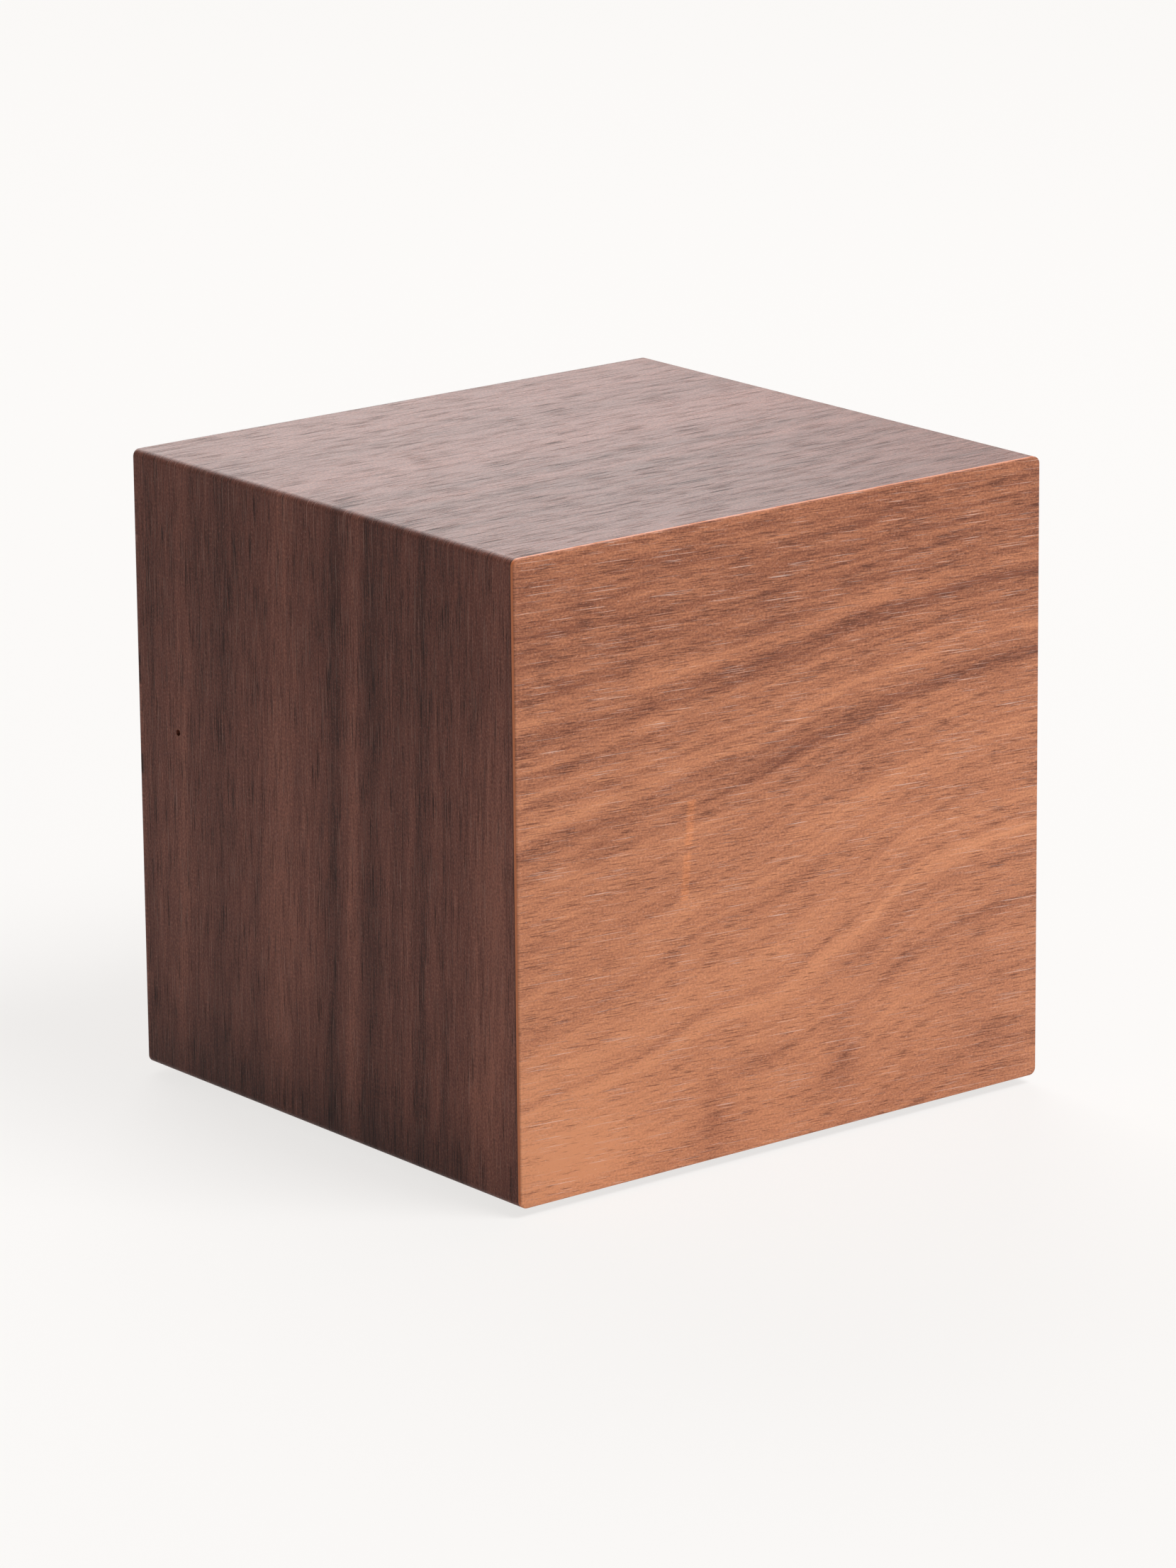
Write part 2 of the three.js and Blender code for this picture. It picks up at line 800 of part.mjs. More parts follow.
// Display board with what stands on its back
function addDisplayBoard(face) {
  const pinHoles = displayPinPlaces().map(([x, y]) => rod(
    2 * pinWidth,
    pinSides,
    displayBoardFront - circuitThickness - overrun,
    displayBoardFront + overrun,
    x,
    y,
  ));
  const screwHoles = displayScrewPlaces().map(([x, y]) => rod(
    boardScrewHole,
    smallSides,
    displayBoardFront - circuitThickness - overrun,
    displayBoardFront + overrun,
    x,
    y,
  ));
  const board = slab(
    roundedPoints(displayBoardWidth, displayBoardHeight, circuitCorner),
    displayBoardFront - circuitThickness,
    displayBoardFront,
  );
  mesh('display_board', cut(board, ...pinHoles, ...screwHoles), greenBoard, face);

  const rear = frame(face, 0, 0, displayPartsSeat);
  rear.rotation.y = Math.PI;
  displayScrewPlaces().forEach(([x, y], i) => {
    mesh(`display_screw_${i + 1}`, panScrew(displayScrewLength), screwSteel, rear, x, y, 0);
  });
  mesh('clock_chip', clockChip(), chipBlack, rear, chipX, 0, 0);
  mesh('clock_crystal', clockCrystal(), tinned, rear, chipX, -crystalDrop, 0);
  mesh('display_header', ribbonHeader(), paleNylon, rear, -cableX, -displayHeaderDrop, 0);
}

function clockChip() {
  const middle = (chipHeight + chipStandOff) / 2;
  const body = lofted([
    { points: rectanglePoints(chipLength - 2 * chipDraft, chipWidth - 2 * chipDraft), z: chipStandOff },
    { points: rectanglePoints(chipLength, chipWidth), z: middle },
    { points: rectanglePoints(chipLength - 2 * chipDraft, chipWidth - 2 * chipDraft), z: chipHeight },
  ]);
  const root = chipWidth / 2 - chipDraft;
  const knee = chipWidth / 2 + (chipLegReach - chipLegFoot) / 2;
  const toe = chipWidth / 2 + chipLegReach;
  const thick = chipLegThickness;
  const profile = [
    [root, middle + thick / 2],
    [root, middle - thick / 2],
    [knee - thick / 2, middle - thick / 2],
    [toe - chipLegFoot - thick / 2, 0],
    [toe, 0],
    [toe, thick],
    [toe - chipLegFoot + thick / 2, thick],
    [knee + thick / 2, middle + thick / 2],
  ];
  const legs = [];
  for (let i = 0; i < chipLegsPerSide; i++) {
    const x = (i - (chipLegsPerSide - 1) / 2) * chipLegPitch;
    const leg = slab(profile, -chipLegWidth / 2, chipLegWidth / 2).rotateX(Math.PI / 2).rotateZ(Math.PI / 2);
    legs.push(leg.clone().translate(x, 0, 0), leg.clone().rotateZ(Math.PI).translate(x, 0, 0));
  }
  return join(body, ...legs);
}

function clockCrystal() {
  const rim = crystalWidth / 2 - crystalFlange;
  const can = slab(
    roundedPoints(crystalLength - 2 * crystalFlange, crystalWidth - 2 * crystalFlange, rim, 4),
    crystalFlange / 2,
    crystalHeight,
  );
  const flange = slab(roundedPoints(crystalLength, crystalWidth, crystalWidth / 2, 4), 0, crystalFlange);
  return join(can, flange);
}

function ribbonHeader() {
  const slot = block(
    headerLength - 2 * headerWall,
    headerWidth - 4 * headerWall,
    headerHeight - headerSlotDepth,
    headerHeight + overrun,
  );
  const key = block(
    headerKeyWidth,
    headerWidth / 2 + overrun,
    headerHeight - headerSlotDepth,
    headerHeight + overrun,
    0,
    headerWidth / 4 + overrun / 2,
  );
  return cut(block(headerLength, headerWidth, 0, headerHeight), slot, key);
}

// Ribbon cable, an easy bend in the plane of its own thickness
function ribbonPoints() {
  const upper = [];
  for (let i = 0; i < ribbonCores; i++) {
    const x = (i - (ribbonCores - 1) / 2) * ribbonPitch;
    for (const angle of [(2 * Math.PI) / 3, Math.PI / 3]) {
      upper.push([x + (ribbonCore / 2) * Math.cos(angle), (ribbonCore / 2) * Math.sin(angle)]);
    }
  }
  const lower = upper.map(([x, y]) => [x, -y]).reverse();
  return [...upper, ...lower].reverse();
}

function addRibbon(cabinet) {
  const frontY = -cabinetDepth / 2 - displayPartsSeat + headerHeight - ribbonTuck;
  const backY = cabinetDepth / 2 + keyPartsSeat - headerHeight + ribbonTuck;
  const frontZ = cabinetHeight / 2 - displayHeaderDrop;
  const backZ = cabinetHeight / 2 + keyHeaderRise;
  const ease = ribbonEaseShare * (backY - frontY);
  const curve = new THREE.CubicBezierCurve3(
    new THREE.Vector3(0, frontY, frontZ),
    new THREE.Vector3(0, frontY + ease, frontZ),
    new THREE.Vector3(0, backY - ease, backZ),
    new THREE.Vector3(0, backY, backZ),
  );
  mesh('ribbon_cable', tube(curve, ribbonPoints(), ribbonSteps), greyRibbon, cabinet, cableX, 0, 0);
}

// Keys
function keyCap() {
  const flange = capFlangeDiameter / 2;
  const radius = capDiameter / 2;
  const top = capProud - capFlangeBottom;
  return turned([
    [0, 0],
    [flange, 0],
    [flange, capFlangeThickness],
    [radius, capFlangeThickness],
    [radius, top - capArris],
    [radius - capArris, top],
    [0, top - capDish],
  ], fineSides);
}

function keyPlunger() {
  const radius = plungerDiameter / 2;
  const length = plungerReach + plungerDepth;
  return turned([
    [0, 0],
    [radius - plungerArris, 0],
    [radius, plungerArris],
    [radius, length - plungerArris],
    [radius - plungerArris, length],
    [0, length],
  ], smallSides);
}

function keySwitch() {
  const shoulder = switchHeight - switchCollarHeight;
  const body = block(switchSize, switchSize, 0, shoulder);
  const collar = rod(switchCollarDiameter, roundSides, shoulder / 2, switchHeight);
  const bore = rod(
    switchBoreDiameter,
    roundSides,
    switchHeight - plungerDepth - keyTravel - switchBoreSpare,
    switchHeight + overrun,
  );
  const legX = (switchSize + switchLegThickness) / 2;
  const legs = [[-1, -1], [1, -1], [-1, 1], [1, 1]].map(([x, y]) => block(
    2 * switchLegThickness,
    switchLegWidth,
    0,
    switchLegHeight,
    x * legX,
    (y * switchSize) / 4,
  ));
  return cut(join(body, collar, ...legs), bore);
}

function addKeys(face) {
  ['set', 'up', 'down'].forEach((name, i) => {
    const [x, y] = keyPlaces()[i];
    mesh(`${name}_button`, keyCap(), blackPlastic, face, x, y, capFlangeBottom);
    mesh(`${name}_plunger`, keyPlunger(), paleNylon, face, x, y, switchTop - plungerDepth);
    mesh(`${name}_switch`, keySwitch(), chipBlack, face, x, y, switchBottom);
  });
}

// Key board, its posts and screws, and the header on its inner side
function addKeyBoard(face) {
  const holes = keyPostPlaces().map(([x, y]) => rod(
    boardScrewHole,
    smallSides,
    keyBoardOuter - circuitThickness - overrun,
    keyBoardOuter + overrun,
    x,
    y,
  ));
  const board = slab(
    roundedPoints(keyBoardWidth, keyBoardHeight, circuitCorner),
    keyBoardOuter - circuitThickness,
    keyBoardOuter,
  );
  mesh('key_board', cut(board, ...holes), greenBoard, face);

  const postBottom = keyBoardOuter + seatGap;
  const postTop = backBoardInner - seatGap;
  const post = cut(
    rod(keyPostDiameter, roundSides, 0, postTop - postBottom),
    rod(boardScrewHole, smallSides, -overrun, postTop - postBottom + overrun),
  );
  const screwLength = backBoardInner + keyScrewBite - keyPartsSeat;
  const rear = frame(face, 0, 0, keyPartsSeat);
  rear.rotation.y = Math.PI;
  keyPostPlaces().forEach(([x, y], i) => {
    mesh(`key_post_${i + 1}`, post, paleNylon, face, x, y, postBottom);
    mesh(`key_screw_${i + 1}`, panScrew(screwLength), screwSteel, rear, x, y, 0);
  });
  mesh('key_header', ribbonHeader(), paleNylon, rear, cableX, keyHeaderRise, 0);
}

// Power socket: a folded shell round a moulded tongue
function socketPoints(inset) {
  const halfWidth = socketWidth / 2 - inset;
  const halfHeight = socketHeight / 2 - inset;
  const bevel = socketBevel - inset / 2;
  return [
    [-halfWidth, halfHeight],
    [-halfWidth, bevel - halfHeight],
    [bevel - halfWidth, -halfHeight],
    [halfWidth - bevel, -halfHeight],
    [halfWidth, bevel - halfHeight],
    [halfWidth, halfHeight],
  ];
}

function addSocket(face) {
  const height = -socketInset - switchBottom;
  const tabs = [-1, 1].map((side) => block(
    2 * socketShell,
    socketTabWidth,
    0,
    socketTabHeight,
    (side * (socketWidth + socketShell)) / 2,
    0,
  ));
  const sleeve = join(slab(socketPoints(0), 0, height), ...tabs);
  const shell = cut(sleeve, slab(socketPoints(socketShell), -overrun, height + overrun));
  mesh('power_socket_shell', shell, tinned, face, 0, -lowerDrop, switchBottom);

  const insulator = join(
    slab(socketPoints(socketShell + holeFit), 0, height - socketFloor),
    block(
      tongueWidth,
      tongueThickness,
      (height - socketFloor) / 2,
      height - tongueInset,
      0,
      (socketHeight - tongueThickness) / 4,
    ),
  );
  mesh('power_socket_insulator', insulator, chipBlack, face, 0, -lowerDrop, switchBottom);
}

// Sounder and microphone, close behind their holes
function addSound(face) {
  const buzzerHeight = backBoardInner - buzzerTop - switchBottom;
  const buzzer = cut(
    join(
      rod(buzzerDiameter, roundSides, 0, buzzerHeight - buzzerRimHeight),
      rod(buzzerRimDiameter, roundSides, buzzerHeight / 2, buzzerHeight),
    ),
    rod(buzzerPortDiameter, smallSides, buzzerHeight / 2, buzzerHeight + overrun),
  );
  mesh('buzzer', buzzer, chipBlack, face, soundX, -lowerDrop, switchBottom);

  const microphoneHeight = backBoardInner - microphoneTop - switchBottom;
  const radius = microphoneDiameter / 2;
  const capsule = turned([
    [0, 0],
    [radius, 0],
    [radius, microphoneHeight],
    [radius - microphoneRim, microphoneHeight],
    [radius - microphoneRim, microphoneHeight - microphoneLip],
    [0, microphoneHeight - microphoneLip],
  ], roundSides);
  mesh('microphone', capsule, tinned, face, -soundX, -lowerDrop, switchBottom);
}

// Battery tray: three arches over the cells, a flange below, a doorway in it
function cellRows() {
  return Array.from({ length: cellCount }, (_, i) => (i - (cellCount - 1) / 2) * cellPitch);
}

function arch(diameter, length, y) {
  return slab(circlePoints(diameter, roundSides, y, 0), -length / 2, length / 2)
    .rotateX(Math.PI / 2)
    .rotateZ(Math.PI / 2)
    .translate(0, 0, cellRise);
}

function batteryTray() {
  const flange = slab(roundedPoints(flangeLength, flangeWidth, flangeCorner), 0, flangeThickness);
  const walls = slab(
    roundedPoints(trayLength, trayWidth, trayCorner),
    flangeThickness / 2,
    cellRise + archDiameter / 2 - archJoin,
  );
  const roofs = cellRows().map((y) => arch(roofDiameter, trayLength - 2 * trayCorner, y));
  const endCaps = [-1, 1].map((side) => slab(
    roundedPoints(endPocket + 2 * trayWall, trayWidth, trayCorner),
    flangeThickness / 2,
    cellRise + roofDiameter / 2,
  ).translate((side * (bayLength - endPocket)) / 2, 0, 0));
  const roofTrim = block(2 * trayLength, 2 * trayWidth, -trayWidth, flangeThickness / 2);
  const body = cut(join(walls, ...roofs, ...endCaps), roofTrim);

  const doorway = slab(
    roundedPoints(doorwayLength, doorwayWidth, doorwayCorner),
    -overrun,
    flangeThickness,
  );
  const bay = block(bayLength, bayWidth, 0, cellRise + archJoin);
  const arches = cellRows().map((y) => arch(archDiameter, bayLength - endPocket, y));
  const pockets = [-1, 1].map((side) => block(
    endPocket,
    bayWidth,
    cellRise,
    cellRise + archDiameter / 2,
    (side * (bayLength - endPocket)) / 2,
    0,
  ));
  const slots = [-1, 1].map((side) => block(
    hookWidth + 2 * slotSideFit,
    2 * trayWall,
    flangeThickness,
    doorThickness + hookRise + slotHeadroom,
    side * hookX,
    -(bayWidth + trayWall) / 2,
  ));
  const notch = rod(nailNotchDiameter, roundSides, -overrun, nailNotchDepth, 0, doorwayWidth / 2);
  const screwHoles = trayScrewPlaces().map(([x, y]) => turned([
    [0, -overrun],
    [trayScrewHead / 2 + holeFit, -overrun],
    [trayScrewHead / 2 + holeFit, trayScrewDrop],
    [trayScrewDiameter / 2 + holeFit, trayScrewDrop + trayScrewSink],
    [trayScrewDiameter / 2 + holeFit, flangeThickness + overrun],
    [0, flangeThickness + overrun],
  ], smallSides).translate(x, y, 0));
  const tagSlots = [-1, 1].map((side) => block(
    endPocket,
    tagWidth + 2 * tagFit,
    cellRise,
    cellRise + roofDiameter / 2 + overrun,
    (side * (bayLength - endPocket)) / 2,
    side * outerCellY,
  ));
  return cut(
    join(flange, body),
    doorway,
    bay,
    ...arches,
    ...pockets,
    ...slots,
    notch,
    ...screwHoles,
    ...tagSlots,
  );
}

// Battery door, lying flat with its outer face at z = 0
function batteryDoor() {
  const panel = lofted([
    {
      points: roundedPoints(doorLength - 2 * doorArris, doorWidth - 2 * doorArris, doorwayCorner - doorArris),
      z: 0,
    },
    { points: roundedPoints(doorLength, doorWidth, doorwayCorner), z: doorArris },
    { points: roundedPoints(doorLength, doorWidth, doorwayCorner), z: doorThickness },
  ]);
  const hookTop = doorThickness + hookRise;
  const postY = bayWidth / 2 - hookWallGap - hookPost / 2;
  const noseReach = trayWall;
  const hooks = [-1, 1].flatMap((side) => [
    block(hookWidth, hookPost, doorThickness / 2, hookTop, side * hookX, -postY),
    block(
      hookWidth,
      hookPost + noseReach,
      hookTop - hookNose,
      hookTop,
      side * hookX,
      -postY - noseReach / 2,
    ),
  ]);
  const ribs = [];
  for (let i = 0; i + 1 < cellCount; i++) {
    const y = (cellRows()[i] + cellRows()[i + 1]) / 2;
    const length = doorLength - 2 * doorRibEndGap - 2 * doorLedge;
    ribs.push(block(length, doorRibWidth, doorThickness / 2, doorThickness + doorRibRise, 0, y));
  }
  const catchPost = block(catchWidth, hookPost, doorThickness / 2, doorThickness + catchRise, 0, postY);
  const slits = [-1, 1].map((side) => block(
    tabSlit,
    tabLength + overrun,
    -overrun,
    doorThickness + overrun,
    side * tabHalfWidth,
    (doorWidth - tabLength + overrun) / 2,
  ));
  const grip = rod(gripDiameter, roundSides, -overrun, gripDepth, 0, doorWidth / 2 - gripInset);
  const ridges = [];
  for (let i = 0; i < gripRidges; i++) {
    const y = doorWidth / 2 - gripInset + (i - (gripRidges - 1) / 2) * gripRidgePitch;
    ridges.push(block(gripDiameter * Math.SQRT1_2, gripRidgeWidth, 0, doorThickness / 2, 0, y));
  }
  return join(cut(join(panel, ...hooks, ...ribs, catchPost), ...slits, grip), ...ridges);
}

// Contacts: a plate in X and Y, what touches the cells standing on it
class ConicalHelix extends THREE.Curve {
  getPoint(share, target = new THREE.Vector3()) {
    const angle = 2 * Math.PI * springTurns * share;
    const radius = (springBaseDiameter + share * (springTipDiameter - springBaseDiameter)) / 2;
    const start = contactThickness + springWire / 2 - springRootShare * springWire;
    const end = contactThickness + springLength - springWire / 2;
    return target.set(radius * Math.cos(angle), radius * Math.sin(angle), start + share * (end - start));
  }
}

// Least gap between one turn of the spring's wire and the next
function springSelfGap() {
  const helix = new ConicalHelix();
  const count = Math.round(springTurns * roundSides);
  const points = Array.from({ length: count + 1 }, (_, i) => helix.getPoint(i / count));
  let least = Infinity;
  for (let i = 0; i <= count; i++) {
    for (let j = i + roundSides / 2; j <= count; j++) {
      least = Math.min(least, points[i].distanceTo(points[j]));
    }
  }
  return least - springWire;
}

function contact({ springs = [], dimples = [], tags = [] }) {
  const cells = [...springs, ...dimples];
  const first = Math.min(...cells);
  const last = Math.max(...cells);
  const plate = slab(
    roundedPoints(last - first + contactWidth, contactHeight, contactCorner, 2, (first + last) / 2, 0),
    0,
    contactThickness,
  );
  const coils = springs.map((x) => tube(
    new ConicalHelix(),
    circlePoints(springWire, springWireSides),
    Math.round(springTurns * springTurnSteps),
  ).translate(x, 0, 0));
  const domes = dimples.map((x) => turned([
    [0, contactThickness / 2],
    [dimpleDiameter / 2, contactThickness / 2],
    [dimpleDiameter / 2, contactThickness],
    [(dimpleDiameter * dimpleTopShare) / 2, contactThickness + dimpleHeight],
    [0, contactThickness + dimpleHeight],
  ], smallSides).translate(x, 0, 0));
  const strips = tags.map((x) => block(tagWidth, tagTop, 0, contactThickness, x, tagTop / 2));
  return join(plate, ...coils, ...domes, ...strips);
}

// Cell, minus end at z = 0, button end up
function cell() {
  const radius = cellDiameter / 2;
  const shoulder = cellLength - cellNubHeight;
  const nub = cellNubDiameter / 2;
  return turned([
    [0, 0],
    [radius - cellRim, 0],
    [radius, cellRim],
    [radius, shoulder - cellShoulder],
    [radius - cellShoulder, shoulder],
    [nub, shoulder],
    [nub, cellLength],
    [0, cellLength],
  ], roundSides);
}

function addBatteryBay(cabinet) {
  mesh('battery_tray', batteryTray(), blackPlastic, cabinet);
  mesh('battery_door', batteryDoor(), blackPlastic, cabinet);

  trayScrewPlaces().forEach(([x, y], i) => {
    const screw = mesh(`tray_screw_${i + 1}`, sunkScrew(), screwSteel, cabinet, x, y, trayScrewDrop);
    screw.rotation.x = Math.PI;
  });

  cellRows().forEach((y, i) => {
    const side = i % 2 === 0 ? 1 : -1;
    const x = side * (minusStack - bayLength / 2);
    const battery = mesh(`battery_${i + 1}`, cell(), cellJacket, cabinet, x, y, cellRise);
    battery.rotation.y = (side * Math.PI) / 2;
  });

  const reach = bayLength / 2 - seatGap;
  const leftEnd = uprightFrame(cabinet, Math.PI / 2, -reach, 0, cellRise);
  const rightEnd = uprightFrame(cabinet, -Math.PI / 2, reach, 0, cellRise);
  const end = -outerCellY;
  mesh('negative_contact', contact({ springs: [end], tags: [end] }), tinned, leftEnd);
  mesh('left_bridge_contact', contact({ springs: [cellPitch], dimples: [0] }), tinned, leftEnd);
  mesh('right_bridge_contact', contact({ springs: [0], dimples: [cellPitch] }), tinned, rightEnd);
  mesh('positive_contact', contact({ dimples: [end], tags: [end] }), tinned, rightEnd);
}

// Battery leads, up from the tags of the end contacts and forward to the display board
function leadCurve(side) {
  const tag = new THREE.Vector3(
    side * (bayLength / 2 - seatGap - contactThickness / 2),
    side * outerCellY,
    cellRise + tagTop + leadEndGap,
  );
  const pad = new THREE.Vector3(
    side * (displayScrewX - leadPadSide),
    -cabinetDepth / 2 - displayPartsSeat - seatGap + leadEndGap,
    (cabinetHeight - displayBoardHeight) / 2 + leadPadInset,
  );
  const middle = leadRouteShares.map(([x, y, loop, rise]) => new THREE.Vector3(
    tag.x + x * (pad.x - tag.x),
    tag.y + y * (pad.y - tag.y),
    tag.z + loop * leadLoop + rise * (pad.z - tag.z),
  ));
  return new THREE.CatmullRomCurve3([tag, ...middle, pad]);
}

function lead(side) {
  const curve = leadCurve(side);
  const steps = Math.round(curve.getLength() / leadStep);
  return tube(curve, circlePoints(leadDiameter, wireSides), steps);
}

function addLeads(cabinet) {
  mesh('black_battery_lead', lead(-1), blackWire, cabinet);
  mesh('red_battery_lead', lead(1), redWire, cabinet);
}

// Feet
function addFeet() {
  const radius = footDiameter / 2;
  const foot = turned([
    [0, 0],
    [radius - footArris, 0],
    [radius, footArris],
    [radius, footHeight],
    [0, footHeight],
  ], roundSides);
  [[-1, -1], [1, -1], [-1, 1], [1, 1]].forEach(([x, y], i) => {
    mesh(
      `foot_${i + 1}`,
      foot,
      darkRubber,
      part,
      x * (cabinetWidth / 2 - footInset),
      y * (cabinetDepth / 2 - footInset),
    );
  });
}

const cabinet = frame(part, 0, 0, footHeight + glueLine);
const frontFace = uprightFrame(cabinet, 0, 0, -cabinetDepth / 2, cabinetHeight / 2);
const backFace = uprightFrame(cabinet, Math.PI, 0, cabinetDepth / 2, cabinetHeight / 2);

addTube(cabinet);
addFrontEnd(frontFace);
addBackEnd(backFace);
addDisplay(frontFace);
addDisplayBoard(frontFace);
addRibbon(cabinet);
addKeys(backFace);
addKeyBoard(backFace);
addSocket(backFace);
addSound(backFace);
addBatteryBay(cabinet);
addLeads(cabinet);
addFeet();

console.log(`contact spring, least gap between turns: ${springSelfGap().toFixed(2)} mm`);

export default part;
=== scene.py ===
# %% [markdown]
# # A small clock in walnut veneer
# The clock is a block of four mitred boards in one folded sheet of walnut, closed by two veneered ends. Its
# figures shine through the front sheet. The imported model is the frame: every piece below is made in metres
# around it and rides on one of its bodies, so nothing has to be fitted later.

# %% Load the frame
import math

import bmesh
import bpy
from mathutils import Matrix, Vector


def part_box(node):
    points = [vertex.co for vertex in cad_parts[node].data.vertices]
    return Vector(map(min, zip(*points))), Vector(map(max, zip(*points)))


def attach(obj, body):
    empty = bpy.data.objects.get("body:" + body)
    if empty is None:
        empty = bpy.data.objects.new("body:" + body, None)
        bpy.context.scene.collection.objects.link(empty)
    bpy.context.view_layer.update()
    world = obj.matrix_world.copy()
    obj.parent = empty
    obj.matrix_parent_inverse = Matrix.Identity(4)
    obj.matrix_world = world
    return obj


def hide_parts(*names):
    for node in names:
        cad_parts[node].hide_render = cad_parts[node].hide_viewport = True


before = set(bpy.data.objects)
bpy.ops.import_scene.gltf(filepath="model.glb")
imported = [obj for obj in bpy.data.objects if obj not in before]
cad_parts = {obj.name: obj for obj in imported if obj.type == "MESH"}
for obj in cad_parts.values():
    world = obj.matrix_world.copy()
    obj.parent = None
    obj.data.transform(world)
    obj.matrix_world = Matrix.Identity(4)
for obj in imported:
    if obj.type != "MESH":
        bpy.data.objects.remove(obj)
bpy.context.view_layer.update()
MM = 0.001
QUARTER_TURN = math.pi / 2

# %% [markdown]
# ## Sizes that the frame gives
# A piece that stands for a packed one takes its size from that piece's box. Only what a box can't say, such
# as the radius of a fold or the thickness of a sheet's eased edge, is written here as a size of its own.

# %% Measure the cabinet
front_low, front_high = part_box("front_veneer")
back_low, back_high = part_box("back_veneer")
wrap_low, wrap_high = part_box("wrap_veneer")
WIDTH = front_high.x - front_low.x
HEIGHT = front_high.z - front_low.z
MIDDLE_Z = (front_high.z + front_low.z) / 2
FOLD_RADIUS = 0.9 * MM
SHEET = front_high.y - front_low.y


def middle_of(node):
    """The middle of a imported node's box."""
    low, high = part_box(node)
    return (low + high) / 2


def shown(name, data):
    """A new object in the scene."""
    thing = bpy.data.objects.new(name, data)
    bpy.context.scene.collection.objects.link(thing)
    return thing


print("sheet", round(SHEET / MM, 2), "mm thick")

# %% [markdown]
# ## The camera
# The photograph was taken from the front left and a little above, with a long lens. The angles, the distance
# and the lens below put the block's corners where the photograph has them.

# %% Place the camera
AZIMUTH = math.radians(-38.52)
ELEVATION = math.radians(15.51)
ROLL = math.radians(-0.56)
DISTANCE_SHARE = 11.605
AIM_RIGHT_SHARE = 0.001
AIM_DOWN_SHARE = 0.032
SENSOR = 36
LENS = 170
FARTHEST_SHARE = 1000

back_way = Vector((
    math.sin(AZIMUTH) * math.cos(ELEVATION),
    -math.cos(AZIMUTH) * math.cos(ELEVATION),
    math.sin(ELEVATION),
))
level_right = Vector((math.cos(AZIMUTH), math.sin(AZIMUTH), 0))
level_up = back_way.cross(level_right)
right = math.cos(ROLL) * level_right + math.sin(ROLL) * level_up
up = math.cos(ROLL) * level_up - math.sin(ROLL) * level_right
aim = Vector((0, 0, MIDDLE_Z)) + HEIGHT * (AIM_RIGHT_SHARE * level_right - AIM_DOWN_SHARE * level_up)
turn = Matrix((right, up, back_way)).transposed().to_4x4()

camera_data = bpy.data.cameras.new("photo_camera")
camera_data.sensor_width = SENSOR
camera_data.lens = LENS
camera_data.clip_start = HEIGHT
camera_data.clip_end = FARTHEST_SHARE * HEIGHT
camera = shown("photo_camera", camera_data)
camera.matrix_world = Matrix.Translation(aim + DISTANCE_SHARE * HEIGHT * back_way) @ turn
bpy.context.scene.camera = camera
print("camera is", round(DISTANCE_SHARE * HEIGHT, 3), "m from the block")

# %% [markdown]
# ## Nodes by arithmetic
# All finishes and many shapes here are node trees. A small helper adds the nodes, and a value stands for what
# a node puts out. Values can be added and multiplied like numbers, which keeps long formulas readable.

# %% Values
class Value:
    """A node's output. A sum, difference, product or quotient adds the math node that works it out."""

    def __init__(self, tree, socket):
        self.tree = tree
        self.socket = socket

    def __add__(self, other):
        return self.tree.math("ADD", self, other)

    def __sub__(self, other):
        return self.tree.math("SUBTRACT", self, other)

    def __rsub__(self, other):
        return self.tree.math("SUBTRACT", other, self)

    def __mul__(self, other):
        return self.tree.math("MULTIPLY", self, other)

    def __truediv__(self, other):
        return self.tree.math("DIVIDE", self, other)

    __radd__ = __add__


print("values add, subtract, multiply and divide")

# %% Trees
class Tree:
    """Adds nodes to one tree. An input takes a number, a colour, a vector or a value."""

    def __init__(self, tree):
        self.tree = tree

    def add(self, kind, inputs=(), **settings):
        node = self.tree.nodes.new(kind)
        for name, setting in settings.items():
            setattr(node, name, setting)
        for key, given in dict(inputs).items():
            self.feed(node.inputs[key], given)
        return node

    def feed(self, socket, given):
        if isinstance(given, Value):
            self.tree.links.new(given.socket, socket)
        else:
            socket.default_value = given

    def value(self, kind, inputs=(), output=0, **settings):
        """One output of a new node."""
        return Value(self, self.add(kind, inputs, **settings).outputs[output])

    def values(self, kind, inputs=(), **settings):
        """All outputs of a new node, by name."""
        return {socket.name: Value(self, socket) for socket in self.add(kind, inputs, **settings).outputs}

    def form(self, kind, inputs=(), output=0, **settings):
        """One output of a new geometry node."""
        return self.value("GeometryNode" + kind, inputs, output, **settings)

    def math(self, operation, *numbers, clamp=False):
        return self.value("ShaderNodeMath", enumerate(numbers), operation=operation, use_clamp=clamp)

    def mix(self, share, first, second, blend="MIX"):
        inputs = {0: share, 6: first, 7: second}
        return self.value("ShaderNodeMix", inputs, 2, data_type="RGBA", blend_type=blend)

    def ease(self, number, low, high, start=0.0, end=1.0):
        """Runs smoothly from start to end while the number runs from low to high."""
        inputs = {"Value": number, "From Min": low, "From Max": high, "To Min": start, "To Max": end}
        return self.value("ShaderNodeMapRange", inputs, interpolation_type="SMOOTHSTEP")

    def vector(self, x, y, z=0.0):
        return self.value("ShaderNodeCombineXYZ", {0: x, 1: y, 2: z})

    def parts(self, vector):
        return self.values("ShaderNodeSeparateXYZ", {0: vector}).values()

    def noise(self, vector, scale=1.0, detail=0.0, roughness=0.5):
        inputs = {"Vector": vector, "Scale": scale, "Detail": detail, "Roughness": roughness}
        return self.value("ShaderNodeTexNoise", inputs, "Fac")

    def place(self):
        """The place on the piece, in metres."""
        return self.value("ShaderNodeTexCoord", output="Object")


def emptied(holder):
    """The tree of a world or a material, without the nodes that it starts with."""
    holder.use_nodes = True
    holder.node_tree.nodes.clear()
    return Tree(holder.node_tree)


